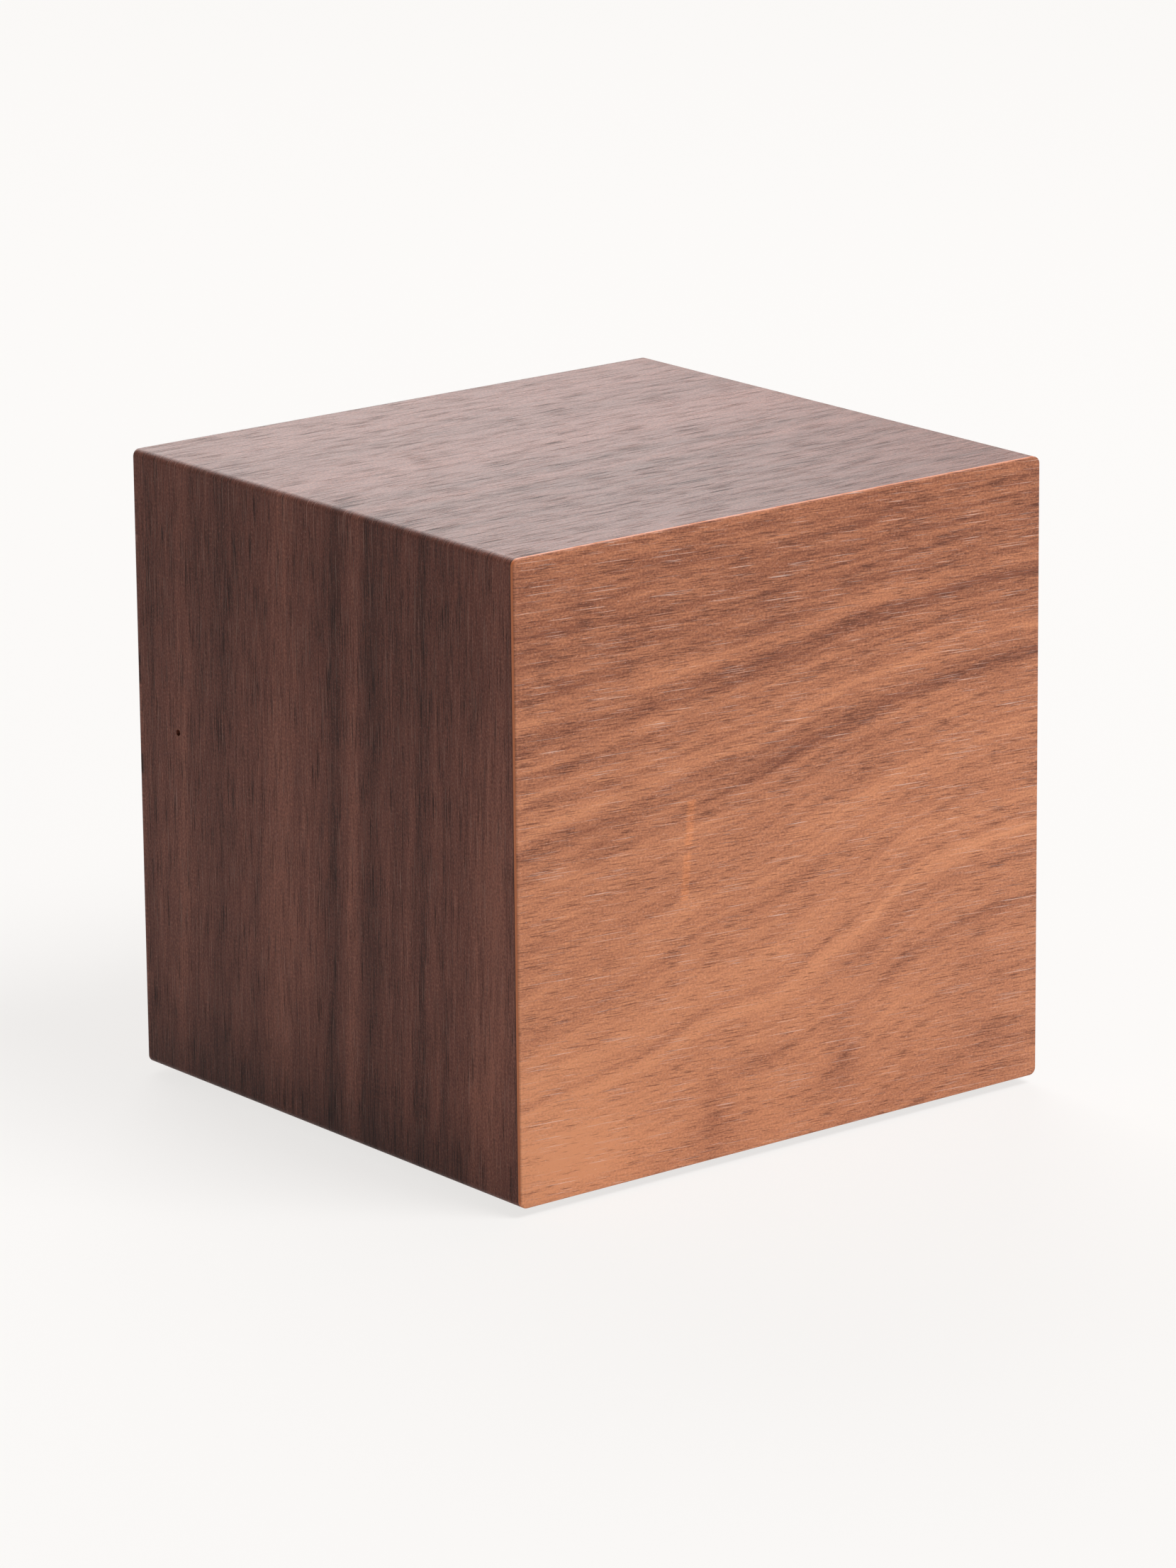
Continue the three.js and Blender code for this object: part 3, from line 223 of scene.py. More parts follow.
print("tree helper ready")

# %% [markdown]
# ## Floor, world and lamps
# The floor is pale and runs far behind the block, so that it fills the picture. Seen by the camera it is
# mostly the plain background colour with a faint shadow in it, and far away it melts into the world, so that
# no horizon shows. The world lights the block weakly, but reflects as a white studio would. One large lamp
# stands high in front of the display. The other stands behind the block, where the flat lacquered top mirrors
# it as a pale glare.

# %% Rays and forms
def showing_rays(tree):
    """1 for a ray that shows the background: from the camera, off a glossy surface or through glass."""
    rays = tree.values("ShaderNodeLightPath")
    seen = tree.math("MAXIMUM", rays["Is Camera Ray"], rays["Is Glossy Ray"])
    return tree.math("MAXIMUM", seen, rays["Is Transmission Ray"])


def meshed(form):
    """A bmesh form as a mesh."""
    mesh = bpy.data.meshes.new("form")
    form.to_mesh(mesh)
    form.free()
    return mesh


print("studio helpers ready")

# %% Build the studio
BACKGROUND = (0.956, 0.939, 0.922, 1)
FLOOR_COLOUR = (0.86, 0.85, 0.84, 1)
FLOOR_PLAIN_SHARE = 0.8
FLOOR_NEAR = 3 * WIDTH
FLOOR_FAR = 12 * WIDTH
FLOOR_RADIUS = 30 * WIDTH
FLOOR_SIDES = 96
FLOOR_DROP = 0.02 * MM
WORLD_LIGHT = 0.2
LAMPS = {
    "front_softbox": {"place": (6, -13, 22), "size": 12, "power": 38},
    "rear_softbox": {"place": (9, 20, 14), "size": 18, "power": 30},
}
world = bpy.data.worlds.new("studio")
bpy.context.scene.world = world
studio = emptied(world)
dim = studio.value("ShaderNodeBackground", {"Color": BACKGROUND, "Strength": WORLD_LIGHT})
bright = studio.value("ShaderNodeBackground", {"Color": BACKGROUND, "Strength": 1.0})
shade = studio.value("ShaderNodeMixShader", {0: showing_rays(studio), 1: dim, 2: bright})
studio.add("ShaderNodeOutputWorld", {"Surface": shade})

floor_form = bmesh.new()
bmesh.ops.create_circle(floor_form, cap_ends=True, segments=FLOOR_SIDES, radius=FLOOR_RADIUS)
floor = shown("floor", meshed(floor_form))
floor.location.z = -FLOOR_DROP
floor_paint = bpy.data.materials.new("floor_paint")
floor.data.materials.append(floor_paint)
paint = emptied(floor_paint)
distance = paint.value("ShaderNodeVectorMath", {0: paint.place()}, "Value", operation="LENGTH")
plain_share = showing_rays(paint) * paint.ease(distance, FLOOR_NEAR, FLOOR_FAR, FLOOR_PLAIN_SHARE, 1.0)
matt = paint.value("ShaderNodeBsdfDiffuse", {"Color": FLOOR_COLOUR})
plain = paint.value("ShaderNodeEmission", {"Color": BACKGROUND})
shade = paint.value("ShaderNodeMixShader", {0: plain_share, 1: matt, 2: plain})
paint.add("ShaderNodeOutputMaterial", {"Surface": shade})

for name, lamp in LAMPS.items():
    light = bpy.data.lights.new(name, "AREA")
    light.size = lamp["size"] * WIDTH
    light.energy = lamp["power"]
    stand = shown(name, light)
    stand.location = Vector(lamp["place"]) * WIDTH
    way = Vector((0, 0, MIDDLE_Z)) - stand.location
    stand.rotation_euler = way.to_track_quat("-Z", "Y").to_euler()
bpy.context.scene.view_settings.view_transform = "Standard"
print("studio with", len(LAMPS), "lamps")

# %% [markdown]
# ## Walnut: what the eye sees
# Walnut shows three things at three scales. Broad bands follow the growth rings. Short dark dashes are pores
# cut along their length, and a few long pale hairlines are pores that catch the light: their pale colour is a
# painted glint, and so are small pale specks. A fine mottle lies between them. An image could hold all this,
# but nodes stay sharp at any size. The parts that both veneers need are groups with named inputs, so each
# veneer sets its own sizes and tints.

# %% Make a group, and place one
SOCKET_KINDS = {1: "NodeSocketFloat", 3: "NodeSocketVector", 4: "NodeSocketColor"}


def new_group(name, inputs, outputs):
    """A shader group. Inputs are names with defaults, outputs are names with a count of channels."""
    group = bpy.data.node_groups.new(name, "ShaderNodeTree")
    for socket, default in inputs.items():
        channels = len(default) if isinstance(default, tuple) else 1
        item = group.interface.new_socket(socket, in_out="INPUT", socket_type=SOCKET_KINDS[channels])
        item.default_value = default
    for socket, channels in outputs.items():
        group.interface.new_socket(socket, in_out="OUTPUT", socket_type=SOCKET_KINDS[channels])
    tree = Tree(group)
    return tree, tree.values("NodeGroupInput"), tree.add("NodeGroupOutput").inputs


def place_group(tree, name, inputs):
    """Places a group in a tree and returns its outputs by name."""
    return tree.values("ShaderNodeGroup", inputs, node_tree=bpy.data.node_groups[name])


def total(tree, name, first, second, rows):
    """Places a group once for each row of a table and adds up the strengths. The group's first two inputs are
    the same for all rows, and a row fills its other inputs in their order."""
    return sum(place_group(tree, name, enumerate((first, second, *row)))["Strength"] for row in rows)


def srgb(red, green, blue):
    """A colour as a photograph's 0 to 255 numbers, made linear."""
    shares = [channel / 255 for channel in (red, green, blue)]
    linear = [share / 12.92 if share <= 0.04045 else ((share + 0.055) / 1.055) ** 2.4 for share in shares]
    return (*linear, 1.0)


print("group helpers ready")

# %% [markdown]
# A dash is noise that is stretched along the grain and then cut off high, so that only its peaks stay. The
# stretch sets the dash's length and width, and the cut sets how much of the surface the dashes cover.

# %% Group: dashes along the grain
dash, given, result = new_group(
    "grain_dashes",
    {"Along": 0.0, "Across": 0.0, "Length": 2.0, "Width": 0.2, "Cut": 0.65, "Softness": 0.08, "Layer": 0.0},
    {"Mask": 1},
)
stretched = dash.vector(given["Along"] / given["Length"], given["Across"] / given["Width"], given["Layer"])
peaks = dash.noise(stretched, detail=2.0, roughness=0.6)
dash.feed(result["Mask"], dash.ease(peaks, given["Cut"], given["Cut"] + given["Softness"]))
print("dashes ready")

# %% [markdown]
# A figure band is a soft ridge across the grain. Its strength runs from one value to another along the sheet,
# because growth rings fade and return. A negative strength is a pale band. A patch is a soft spot in one
# place, for what no band gives, such as the curls low on the front. On the dark sheet, patches also paint
# shade. Bands and patches come from tables.

# %% Groups: one band of the figure, and one patch of figure and painted shade
def bell(tree, *offsets):
    """A soft hill: 1 where all offsets are 0, and all but gone where one of them is 2."""
    return tree.math("EXPONENT", sum(offset * offset for offset in offsets) * -1.0)


band, given, result = new_group(
    "figure_band",
    {"Across": 0.0, "Run": 0.0, "Centre": 0.0, "Half width": 1.0, "Start": 0.0, "End": 0.0},
    {"Strength": 1},
)
strength = (given["End"] - given["Start"]) * given["Run"] + given["Start"]
hill = bell(band, (given["Across"] - given["Centre"]) / given["Half width"])
band.feed(result["Strength"], hill * strength)
patch, given, result = new_group(
    "figure_and_shade_patch",
    {
        "Across": 0.0, "Down": 0.0, "Centre": 0.0, "Depth": 0.0, "Half width": 1.0, "Half height": 1.0,
        "Amount": 0.0,
    },
    {"Strength": 1},
)
aside = (given["Across"] - given["Centre"]) / given["Half width"]
below = (given["Down"] - given["Depth"]) / given["Half height"]
patch.feed(result["Strength"], bell(patch, aside, below) * given["Amount"])
print("figure groups ready")

# %% [markdown]
# The surface group turns the figure, with any painted shade fed in with it, into colour. Streaks follow the
# growth rings. Strands, pores and hairlines follow the straight grain instead, and mottle breaks them up.
# Pores darken what is under them and crowd where that figure is dark. Hairlines and specks mix a pale colour
# in as a painted glint. The height that comes out feeds a Bump node: pores and hairlines are shallow grooves.

# %% Scales of the grain
STREAK = {"length": 16.0, "width": 0.75, "detail": 4.0}
STRAND = {"length": 4.5, "width": 0.24, "detail": 2.0}
MOTTLE = {"length": 0.34, "width": 0.24, "detail": 1.0}
CLUSTER = {"length": 7.0, "width": 1.4, "detail": 1.0}
CLUSTER_AMOUNT = 0.3
FIGURE_CROWDING = 0.05
PORE_LAYER = 1.0
PORE_SOFTNESS = 0.14
HAIRLINE_LAYER = 2.0
HAIRLINE_SOFTNESS = 0.05
HAIRLINE_DEPTH = 0.5
GLINT_SPECK_LAYER = 3.0
GLINT_SPECK_LENGTH = 0.34
GLINT_SPECK_WIDTH = 0.2
GLINT_SPECK_SOFTNESS = 0.08
NOISE_MIDDLE = 0.5
print("streaks", STREAK["length"], "mm long, strands", STRAND["length"], "mm")

# %% Group: walnut surface
wood, given, result = new_group(
    "walnut_surface",
    {
        "Along": 0.0, "Across": 0.0, "Ring": 0.0, "Figure and shade": 0.0, "Light": srgb(212, 150, 114),
        "Middle": srgb(181, 121, 93), "Dark": srgb(138, 86, 66), "Pore tint": srgb(150, 140, 150),
        "Hairline glint": srgb(228, 186, 164), "Streak amount": 1.0, "Strand amount": 1.0, "Mottle amount": 0.5,
        "Pore length": 2.4, "Pore width": 0.24, "Pore cut": 0.56, "Pore amount": 0.6,
        "Hairline length": 9.0, "Hairline width": 0.14, "Hairline cut": 0.68, "Hairline amount": 0.6,
        "Glint speck cut": 0.7, "Glint speck amount": 0.3,
    },
    {"Colour": 4, "Height": 1},
)


def swing(across, length, width, detail):
    """Noise stretched along the grain, between about -0.5 and 0.5."""
    return wood.noise(wood.vector(given["Along"] / length, across / width), detail=detail) - NOISE_MIDDLE


def dashes(layer, length, width, cut, softness):
    """The mask of one kind of dash. Each kind reads its own layer of the noise."""
    inputs = enumerate((given["Along"], given["Across"], length, width, cut, softness, layer))
    return place_group(wood, "grain_dashes", inputs)["Mask"]


tone = given["Figure and shade"] + swing(given["Ring"], **STREAK) * given["Streak amount"]
tone = tone + swing(given["Across"], **STRAND) * given["Strand amount"]
tone = tone + swing(given["Across"], **MOTTLE) * given["Mottle amount"]
colour = wood.mix(wood.math("MULTIPLY", tone, -1.0, clamp=True), given["Middle"], given["Light"])
colour = wood.mix(wood.math("MULTIPLY", tone, 1.0, clamp=True), colour, given["Dark"])
pore_cut = given["Pore cut"] - swing(given["Ring"], **CLUSTER) * CLUSTER_AMOUNT
pore_cut = pore_cut - given["Figure and shade"] * FIGURE_CROWDING
pores = dashes(PORE_LAYER, given["Pore length"], given["Pore width"], pore_cut, PORE_SOFTNESS)
hairline_grooves_and_glints = dashes(
    HAIRLINE_LAYER, given["Hairline length"], given["Hairline width"], given["Hairline cut"],
    HAIRLINE_SOFTNESS,
)
# Specks, and the pale colour of the hairlines, are painted glints; the hairlines are also shallow grooves.
glint_specks = dashes(GLINT_SPECK_LAYER, GLINT_SPECK_LENGTH, GLINT_SPECK_WIDTH, given["Glint speck cut"], GLINT_SPECK_SOFTNESS)
colour = wood.mix(pores * given["Pore amount"], colour, given["Pore tint"], "MULTIPLY")
colour = wood.mix(glint_specks * given["Glint speck amount"], colour, given["Hairline glint"])
colour = wood.mix(hairline_grooves_and_glints * given["Hairline amount"], colour, given["Hairline glint"])
wood.feed(result["Colour"], colour)
wood.feed(result["Height"], 1.0 - (hairline_grooves_and_glints * HAIRLINE_DEPTH + pores))
print("walnut groups:", [group.name for group in bpy.data.node_groups])

# %% [markdown]
# ## From a form to a piece
# A piece is built as a bmesh form. Its normals are turned outwards, its curved faces are shaded smooth up to
# a sharp edge, and it then rides on a body of the frame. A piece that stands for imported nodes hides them.
# Each finish is kept under the name of the material slot that it dresses.

# %% Finishes and pieces
SMOOTH_ANGLE = math.radians(35)
finishes = {}


def new_finish(slot, constants):
    """A material with a Principled shader. Returns its tree and the shader's inputs."""
    finishes[slot] = bpy.data.materials.new(slot + "_finish")
    tree = emptied(finishes[slot])
    shader = tree.add("ShaderNodeBsdfPrincipled", constants)
    tree.add("ShaderNodeOutputMaterial", {"Surface": Value(tree, shader.outputs[0])})
    return tree, shader.inputs


def bump(tree, height, depth):
    """A normal from a height that runs from 0 to 1 and stands for a depth in metres."""
    return tree.value("ShaderNodeBump", {"Strength": 1.0, "Distance": depth, "Height": height})


def new_piece(name, mesh, slot, body, *nodes, finish=None):
    """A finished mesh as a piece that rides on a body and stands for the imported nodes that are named."""
    mesh.name = name
    mesh.shade_smooth()
    mesh.set_sharp_from_angle(angle=SMOOTH_ANGLE)
    mesh.materials.clear()
    mesh.materials.append(finishes[finish or slot])
    piece = shown(name, mesh)
    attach(piece, body)
    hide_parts(*nodes)
    print("piece", name, "has", len(mesh.polygons), "faces")


print("smooth up to", round(math.degrees(SMOOTH_ANGLE)), "degrees")

# %% Outlines and lofts
def rounded_outline(width, height, radius, steps=8):
    """Points of a rectangle with round corners, anticlockwise."""
    points = []
    for turn, (side_x, side_y) in enumerate([(1, 1), (-1, 1), (-1, -1), (1, -1)]):
        for step in range(steps + 1):
            angle = QUARTER_TURN * (turn + step / steps)
            points.append((
                side_x * (width / 2 - radius) + radius * math.cos(angle),
                side_y * (height / 2 - radius) + radius * math.sin(angle),
            ))
    return points


def lofted(rings):
    """A closed mesh through rings of equal count, with a cap at each end."""
    form = bmesh.new()
    loops = [[form.verts.new(point) for point in ring] for ring in rings]
    for lower, upper in zip(loops, loops[1:]):
        for i, corner in enumerate(lower):
            j = (i + 1) % len(lower)
            form.faces.new((corner, lower[j], upper[j], upper[i]))
    form.faces.new(list(reversed(loops[0])))
    form.faces.new(loops[-1])
    bmesh.ops.recalc_face_normals(form, faces=form.faces[:])
    return meshed(form)


print("loft helpers ready")

# %% [markdown]
# ## The two veneered ends
# Each end is half a millimetre of walnut that runs to the edges of the block, so its own edge shows all
# round as a thin line. A sanded arris takes the sharpness off. The outline is lofted through a few rings
# that follow a quarter circle at the arris.

# %% End sheets
ARRIS = 0.2 * MM
ARRIS_STEPS = 4


def end_sheet(inner_y, outer_y):
    """A sheet with its eased face at outer_y."""
    outward = 1 if outer_y > inner_y else -1
    insets = [(0, inner_y)]
    for step in range(ARRIS_STEPS + 1):
        angle = QUARTER_TURN * step / ARRIS_STEPS
        inset = ARRIS * (1 - math.cos(angle))
        insets.append((inset, outer_y - outward * ARRIS * (1 - math.sin(angle))))
    rings = []
    for inset, y in insets:
        outline = rounded_outline(WIDTH - 2 * inset, HEIGHT - 2 * inset, FOLD_RADIUS - inset)
        rings.append([(x, y, MIDDLE_Z + z) for x, z in outline])
    return lofted(rings)


print("arris", ARRIS_STEPS, "steps over", ARRIS / MM, "mm")

# %% [markdown]
# ## Front veneer
# The growth rings on this sheet fan out: they lie close together at the right edge and open towards the left.
# So the height on the face is divided by a curve of the place from left to right, and the bands are then
# placed in that straightened height. Near the lower edge the fan flattens. Between, the rings wave, and a
# second curve moves them. Places on the face are in millimetres from its upper left corner.

# %% Curves for the figure
def curve(tree, number, points):
    """A smooth curve through points whose places and values both lie between 0 and 1."""
    node = tree.add("ShaderNodeFloatCurve", {"Value": number})
    line = node.mapping.curves[0]
    for place, height in points[1:-1]:
        line.points.new(place, height)
    line.points[0].location = points[0]
    line.points[len(points) - 1].location = points[-1]
    node.mapping.update()
    return Value(tree, node.outputs[0])


FAN_LOW = 0.9
FAN_SPAN = 0.8
FAN_SHARES = [
    (0.0, 0.9), (0.12, 0.81), (0.28, 0.69), (0.37, 0.61), (0.46, 0.54), (0.54, 0.43), (0.62, 0.33),
    (0.71, 0.26), (0.8, 0.2), (0.88, 0.15), (1.0, 0.12),
]
FLATTEN = 0.6
FLATTEN_START = 55.0
FLATTEN_END = 80.0
WAVE_SPAN = 4.0
WAVE_SHARES = [
    (0.0, 0.5), (0.25, 0.375), (0.35, 0.18), (0.5, 0.57), (0.62, 0.75), (0.78, 0.25), (0.88, 0.45),
    (1.0, 0.57),
]
WAVE_TOP = 28.0
WAVE_FULL = 44.0
WANDER_LENGTH = 11.0
WANDER_WIDTH = 4.0
WANDER = 1.3
GRAIN_FALL = 0.05
print("fan of", len(FAN_SHARES), "points, wave of", len(WAVE_SHARES))

# %% [markdown]
# The tables give the front its figure. A band has its centre, its half width, and its strength at the left
# and at the right edge. A patch has its place across and down, its half width and half height, and its
# amount. The streaks between the bands are strong at the top of the face and weaker below.

# %% Bands and patches of the front
FRONT_TREND = [
    (3.0, 9.0, 0.52, 0.45), (14.0, 6.0, 0.14, 0.3), (40.0, 7.0, -0.35, -0.05), (52.0, 8.0, -0.5, -0.25),
    (66.0, 9.0, -0.3, -0.15), (38.0, 80.0, -0.04, 0.1),
]
FRONT_BANDS = [
    (2.2, 0.7, 0.12, 0.1), (5.8, 0.8, 0.2, 0.1), (8.0, 0.6, 0.22, 0.12), (10.3, 0.7, 0.25, 0.1),
    (11.9, 0.9, -0.3, -0.35), (13.7, 0.9, 0.35, 0.55), (15.5, 0.5, -0.2, -0.1), (16.5, 0.5, 0.25, 0.1),
    (17.8, 0.5, -0.2, -0.1), (18.7, 0.5, 0.22, 0.1), (20.2, 0.9, -0.3, -0.35), (21.8, 1.0, 0.5, 0.1),
    (23.8, 1.1, 0.1, 0.9), (25.3, 0.9, -0.25, 0.0), (30.3, 0.5, 0.12, 0.05), (32.7, 1.2, -0.05, -0.35),
    (35.8, 0.7, 0.35, 0.05), (39.0, 0.6, 0.0, 0.25), (41.0, 1.5, -0.25, -0.2), (44.0, 0.6, 0.3, 0.1),
    (45.6, 0.9, -0.4, -0.6), (48.8, 0.9, -0.1, 0.5), (54.5, 0.9, 0.1, 0.35), (59.0, 1.2, 0.0, -0.2),
    (63.0, 0.8, 0.0, 0.2), (68.0, 1.4, 0.0, -0.15), (72.0, 0.9, 0.0, 0.2),
]
FRONT_PATCHES = [
    (72.0, 55.0, 8.0, 3.0, 0.3), (69.0, 60.5, 8.0, 1.6, 0.25), (29.0, 73.0, 2.4, 5.0, 0.55),
    (35.0, 66.5, 5.0, 1.6, 0.4), (49.0, 69.0, 2.4, 4.5, 0.55), (72.0, 69.5, 4.5, 3.0, 0.45),
    (56.0, 58.0, 6.0, 3.0, 0.25), (8.0, 73.0, 10.0, 5.0, -0.8), (38.0, 73.0, 4.0, 4.0, -0.2),
    (60.0, 66.0, 6.0, 4.0, -0.1), (52.0, 40.0, 9.0, 3.0, -0.2), (46.0, 31.0, 9.0, 4.0, 0.25),
]
STREAK_TOP = 2.2
STREAK_LOW = 1.3
STREAK_START = 30.0
STREAK_END = 60.0
print(len(FRONT_TREND + FRONT_BANDS), "bands and", len(FRONT_PATCHES), "patches on the front")

# %% [markdown]
# Two bars of the display are lit, and their light soaks through the sheet as a faint orange glow with soft
# ends. A group holds the soft slanted box, because two stray spots need it as well.

# %% Group: light behind the sheet
LEAN = math.tan(math.radians(6))
GLOW_SOFTNESS = 0.3
GLOW_COLOUR = (0.11, 0.032, 0.004, 1.0)
NO_GLOW = (0.0, 0.0, 0.0, 1.0)
GLOWS = [
    (-14.75, 0.55, 0.45, 6.0), (-14.75, 0.55, -6.0, -0.45), (-24.1, 0.2, 6.1, 6.5), (22.9, 0.2, -0.7, -0.3),
]
bar, given, result = new_group(
    "lit_bar",
    {"Across": 0.0, "Rise": 0.0, "Centre": 0.0, "Half width": 0.65, "Low": 0.0, "High": 1.0},
    {"Strength": 1},
)
offset = given["Across"] - (given["Rise"] * LEAN + given["Centre"])
offset = bar.math("ABSOLUTE", offset) - given["Half width"]
inside = bar.ease(offset, -GLOW_SOFTNESS, GLOW_SOFTNESS, 1.0, 0.0)
above = bar.ease(given["Rise"] - given["Low"], -GLOW_SOFTNESS, GLOW_SOFTNESS)
below = bar.ease(given["High"] - given["Rise"], -GLOW_SOFTNESS, GLOW_SOFTNESS)
bar.feed(result["Strength"], inside * (above * below))
print(len(GLOWS), "lit places")

# %% Lacquer and the raw edge
RAW_EDGE = srgb(196, 112, 66)
RAW_START = 0.14 * MM
RAW_FULL = 0.22 * MM
GROOVE_DEPTH = 0.02 * MM
FACE_ROUGHNESS = 0.5
PORE_ROUGHNESS = 0.15


def lacquer(tree, shader, surface, roughness):
    """Roughness rises in the pores, which the lacquer doesn't fill, so that they stay dark in a glare."""
    tree.feed(shader["Roughness"], surface["Height"] * -PORE_ROUGHNESS + (roughness + PORE_ROUGHNESS))
    tree.feed(shader["Normal"], bump(tree, surface["Height"], GROOVE_DEPTH))


print("pores", round(GROOVE_DEPTH / MM, 3), "mm deep")

# %% Finish: front veneer
face, shader = new_finish("face_walnut", {"Specular IOR Level": 0.3, "Emission Strength": 1.0})
x, y, z = face.parts(face.place())
from_left = (x - front_low.x) / MM
from_top = (front_high.z - z) / MM
run = face.math("DIVIDE", x - front_low.x, WIDTH, clamp=True)
fan = curve(face, run, FAN_SHARES) * FAN_SPAN + FAN_LOW
kept = face.ease(from_top, FLATTEN_START, FLATTEN_END, 1.0, 1.0 - FLATTEN)
straight = from_top / ((fan - 1.0) * kept + 1.0)
wave = curve(face, run, WAVE_SHARES) - NOISE_MIDDLE
wave = wave * face.ease(straight, WAVE_TOP, WAVE_FULL, 0.0, WAVE_SPAN)
wander = face.noise(face.vector(from_left / WANDER_LENGTH, from_top / WANDER_WIDTH), detail=2.0)
ring = straight - wave + (wander - NOISE_MIDDLE) * WANDER
tone = total(face, "figure_band", ring, run, FRONT_TREND + FRONT_BANDS)
tone = tone + total(face, "figure_and_shade_patch", from_left, from_top, FRONT_PATCHES)
# The pale hairline colour and the specks on this sheet are painted glints.
surface = place_group(face, "walnut_surface", {
    "Along": from_left, "Across": from_top - from_left * GRAIN_FALL, "Ring": ring, "Figure and shade": tone,
    "Light": srgb(217, 147, 106), "Middle": srgb(188, 122, 88), "Dark": srgb(137, 81, 58),
    "Pore tint": srgb(150, 136, 142), "Hairline glint": srgb(240, 206, 192),
    "Streak amount": face.ease(from_top, STREAK_START, STREAK_END, STREAK_TOP, STREAK_LOW),
    "Strand amount": 1.4, "Mottle amount": 2.0, "Pore length": 3.0, "Pore width": 0.14, "Pore cut": 0.54,
    "Pore amount": 0.7, "Hairline length": 9.0, "Hairline width": 0.11, "Hairline cut": 0.635,
    "Hairline amount": 0.7, "Glint speck cut": 0.64, "Glint speck amount": 0.3,
})
raw = face.ease(y, front_low.y + RAW_START, front_low.y + RAW_FULL)
face.feed(shader["Base Color"], face.mix(raw, surface["Colour"], RAW_EDGE))
lacquer(face, shader, surface, FACE_ROUGHNESS)
glow = total(face, "lit_bar", from_left - WIDTH / MM / 2, HEIGHT / MM / 2 - from_top, GLOWS)
face.feed(shader["Emission Color"], face.mix(glow, NO_GLOW, GLOW_COLOUR))
new_piece("front_sheet", end_sheet(wrap_low.y, front_low.y), "face_walnut", "cabinet", "front_veneer")

# %% [markdown]
# ## The wrap: one folded sheet
# The other four sides are one sheet of walnut, folded round the block, so a band that climbs the left side
# runs on across the top. Its colours are darker than the front's: painted shade of the sides, on top of the
# shade that the lamps give. Its shape is a rule, and Geometry Nodes follow it: a rectangle gets its corners
# filleted, is drawn out along the block, gets a wall, and has the opening for the battery tray cut in its
# underside and a pinhole in its left side. The sheet then gets a map of its own, unrolled in millimetres,
# which its finish reads.

# %% Build and run a Geometry Nodes tree
def new_form(name, sizes):
    """A tree for a modifier, with one named input for each size and one for the finish. It ends by making
    real what it placed and giving it the finish. Returns its helper, its inputs and the socket that takes
    the shape."""
    group = bpy.data.node_groups.new(name, "GeometryNodeTree")
    kinds = {label: "Int" if isinstance(size, int) else "Float" for label, size in sizes.items()}
    for label, kind in {"Start": "Geometry", **kinds, "Finish": "Material"}.items():
        group.interface.new_socket(label, in_out="INPUT", socket_type="NodeSocket" + kind)
    group.interface.new_socket("Geometry", in_out="OUTPUT", socket_type="NodeSocketGeometry")
    tree = Tree(group)
    given = tree.values("NodeGroupInput")
    real = tree.add("GeometryNodeRealizeInstances")
    inputs = {"Geometry": Value(tree, real.outputs[0]), "Material": given["Finish"]}
    tree.add("NodeGroupOutput", {"Geometry": tree.form("SetMaterial", inputs)})
    return tree, given, real.inputs["Geometry"]


def grown(tree, sizes, slot, start=None):
    """Runs a tree with its sizes set, on a mesh that it starts from, and returns the mesh that it makes."""
    group = tree.tree
    holder = shown(group.name, start or bpy.data.meshes.new(group.name))
    modifier = holder.modifiers.new(group.name, "NODES")
    modifier.node_group = group
    for item in group.interface.items_tree:
        if item.in_out == "INPUT" and item.socket_type != "NodeSocketGeometry":
            modifier[item.identifier] = finishes[slot] if item.name == "Finish" else sizes[item.name]
    graph = bpy.context.evaluated_depsgraph_get()
    mesh = bpy.data.meshes.new_from_object(holder.evaluated_get(graph))
    holder.modifiers.remove(modifier)
    bpy.data.objects.remove(holder)
    return mesh


print("form trees ready")

# %% Shapes from nodes
MERGE = 0.001 * MM
TO_FACE = (QUARTER_TURN, 0.0, 0.0)


def joined(tree, *bodies):
    """Several bodies as one."""
    whole = tree.add("GeometryNodeJoinGeometry")
    for body in bodies:
        tree.feed(whole.inputs[0], body)
    return Value(tree, whole.outputs[0])


def carved(tree, body, *tools):
    """A body with the tools cut out of it."""
    cut = tree.add("GeometryNodeMeshBoolean", {"Mesh 1": body}, operation="DIFFERENCE", solver="EXACT")
    for tool in tools:
        tree.feed(cut.inputs["Mesh 2"], tool)
    return Value(tree, cut.outputs["Mesh"])


def moved(tree, body, x=0.0, y=0.0, z=0.0, turn=(0.0, 0.0, 0.0)):
    """A body that is turned and then moved."""
    return tree.form("Transform", {"Geometry": body, "Translation": tree.vector(x, y, z), "Rotation": turn})


def prism(tree, width, height, radius, steps, depth):
    """A closed block with rounded corners in X and Y, from z = 0 up to its depth."""
    outline = tree.form("CurvePrimitiveQuadrilateral", {"Width": width, "Height": height})
    outline = tree.form("FilletCurve", {"Curve": outline, "Radius": radius, "Count": steps}, mode="POLY")
    face = tree.form("FillCurve", {"Curve": outline}, mode="NGONS")
    offset = tree.vector(0.0, 0.0, depth)
    inputs = {"Mesh": face, "Offset": offset, "Offset Scale": 1.0, "Individual": False}
    top = tree.form("ExtrudeMesh", inputs, mode="FACES")
    whole = joined(tree, tree.form("FlipFaces", {"Mesh": face}), top)
    return tree.form("MergeByDistance", {"Geometry": whole, "Distance": MERGE})


print("shape helpers ready")

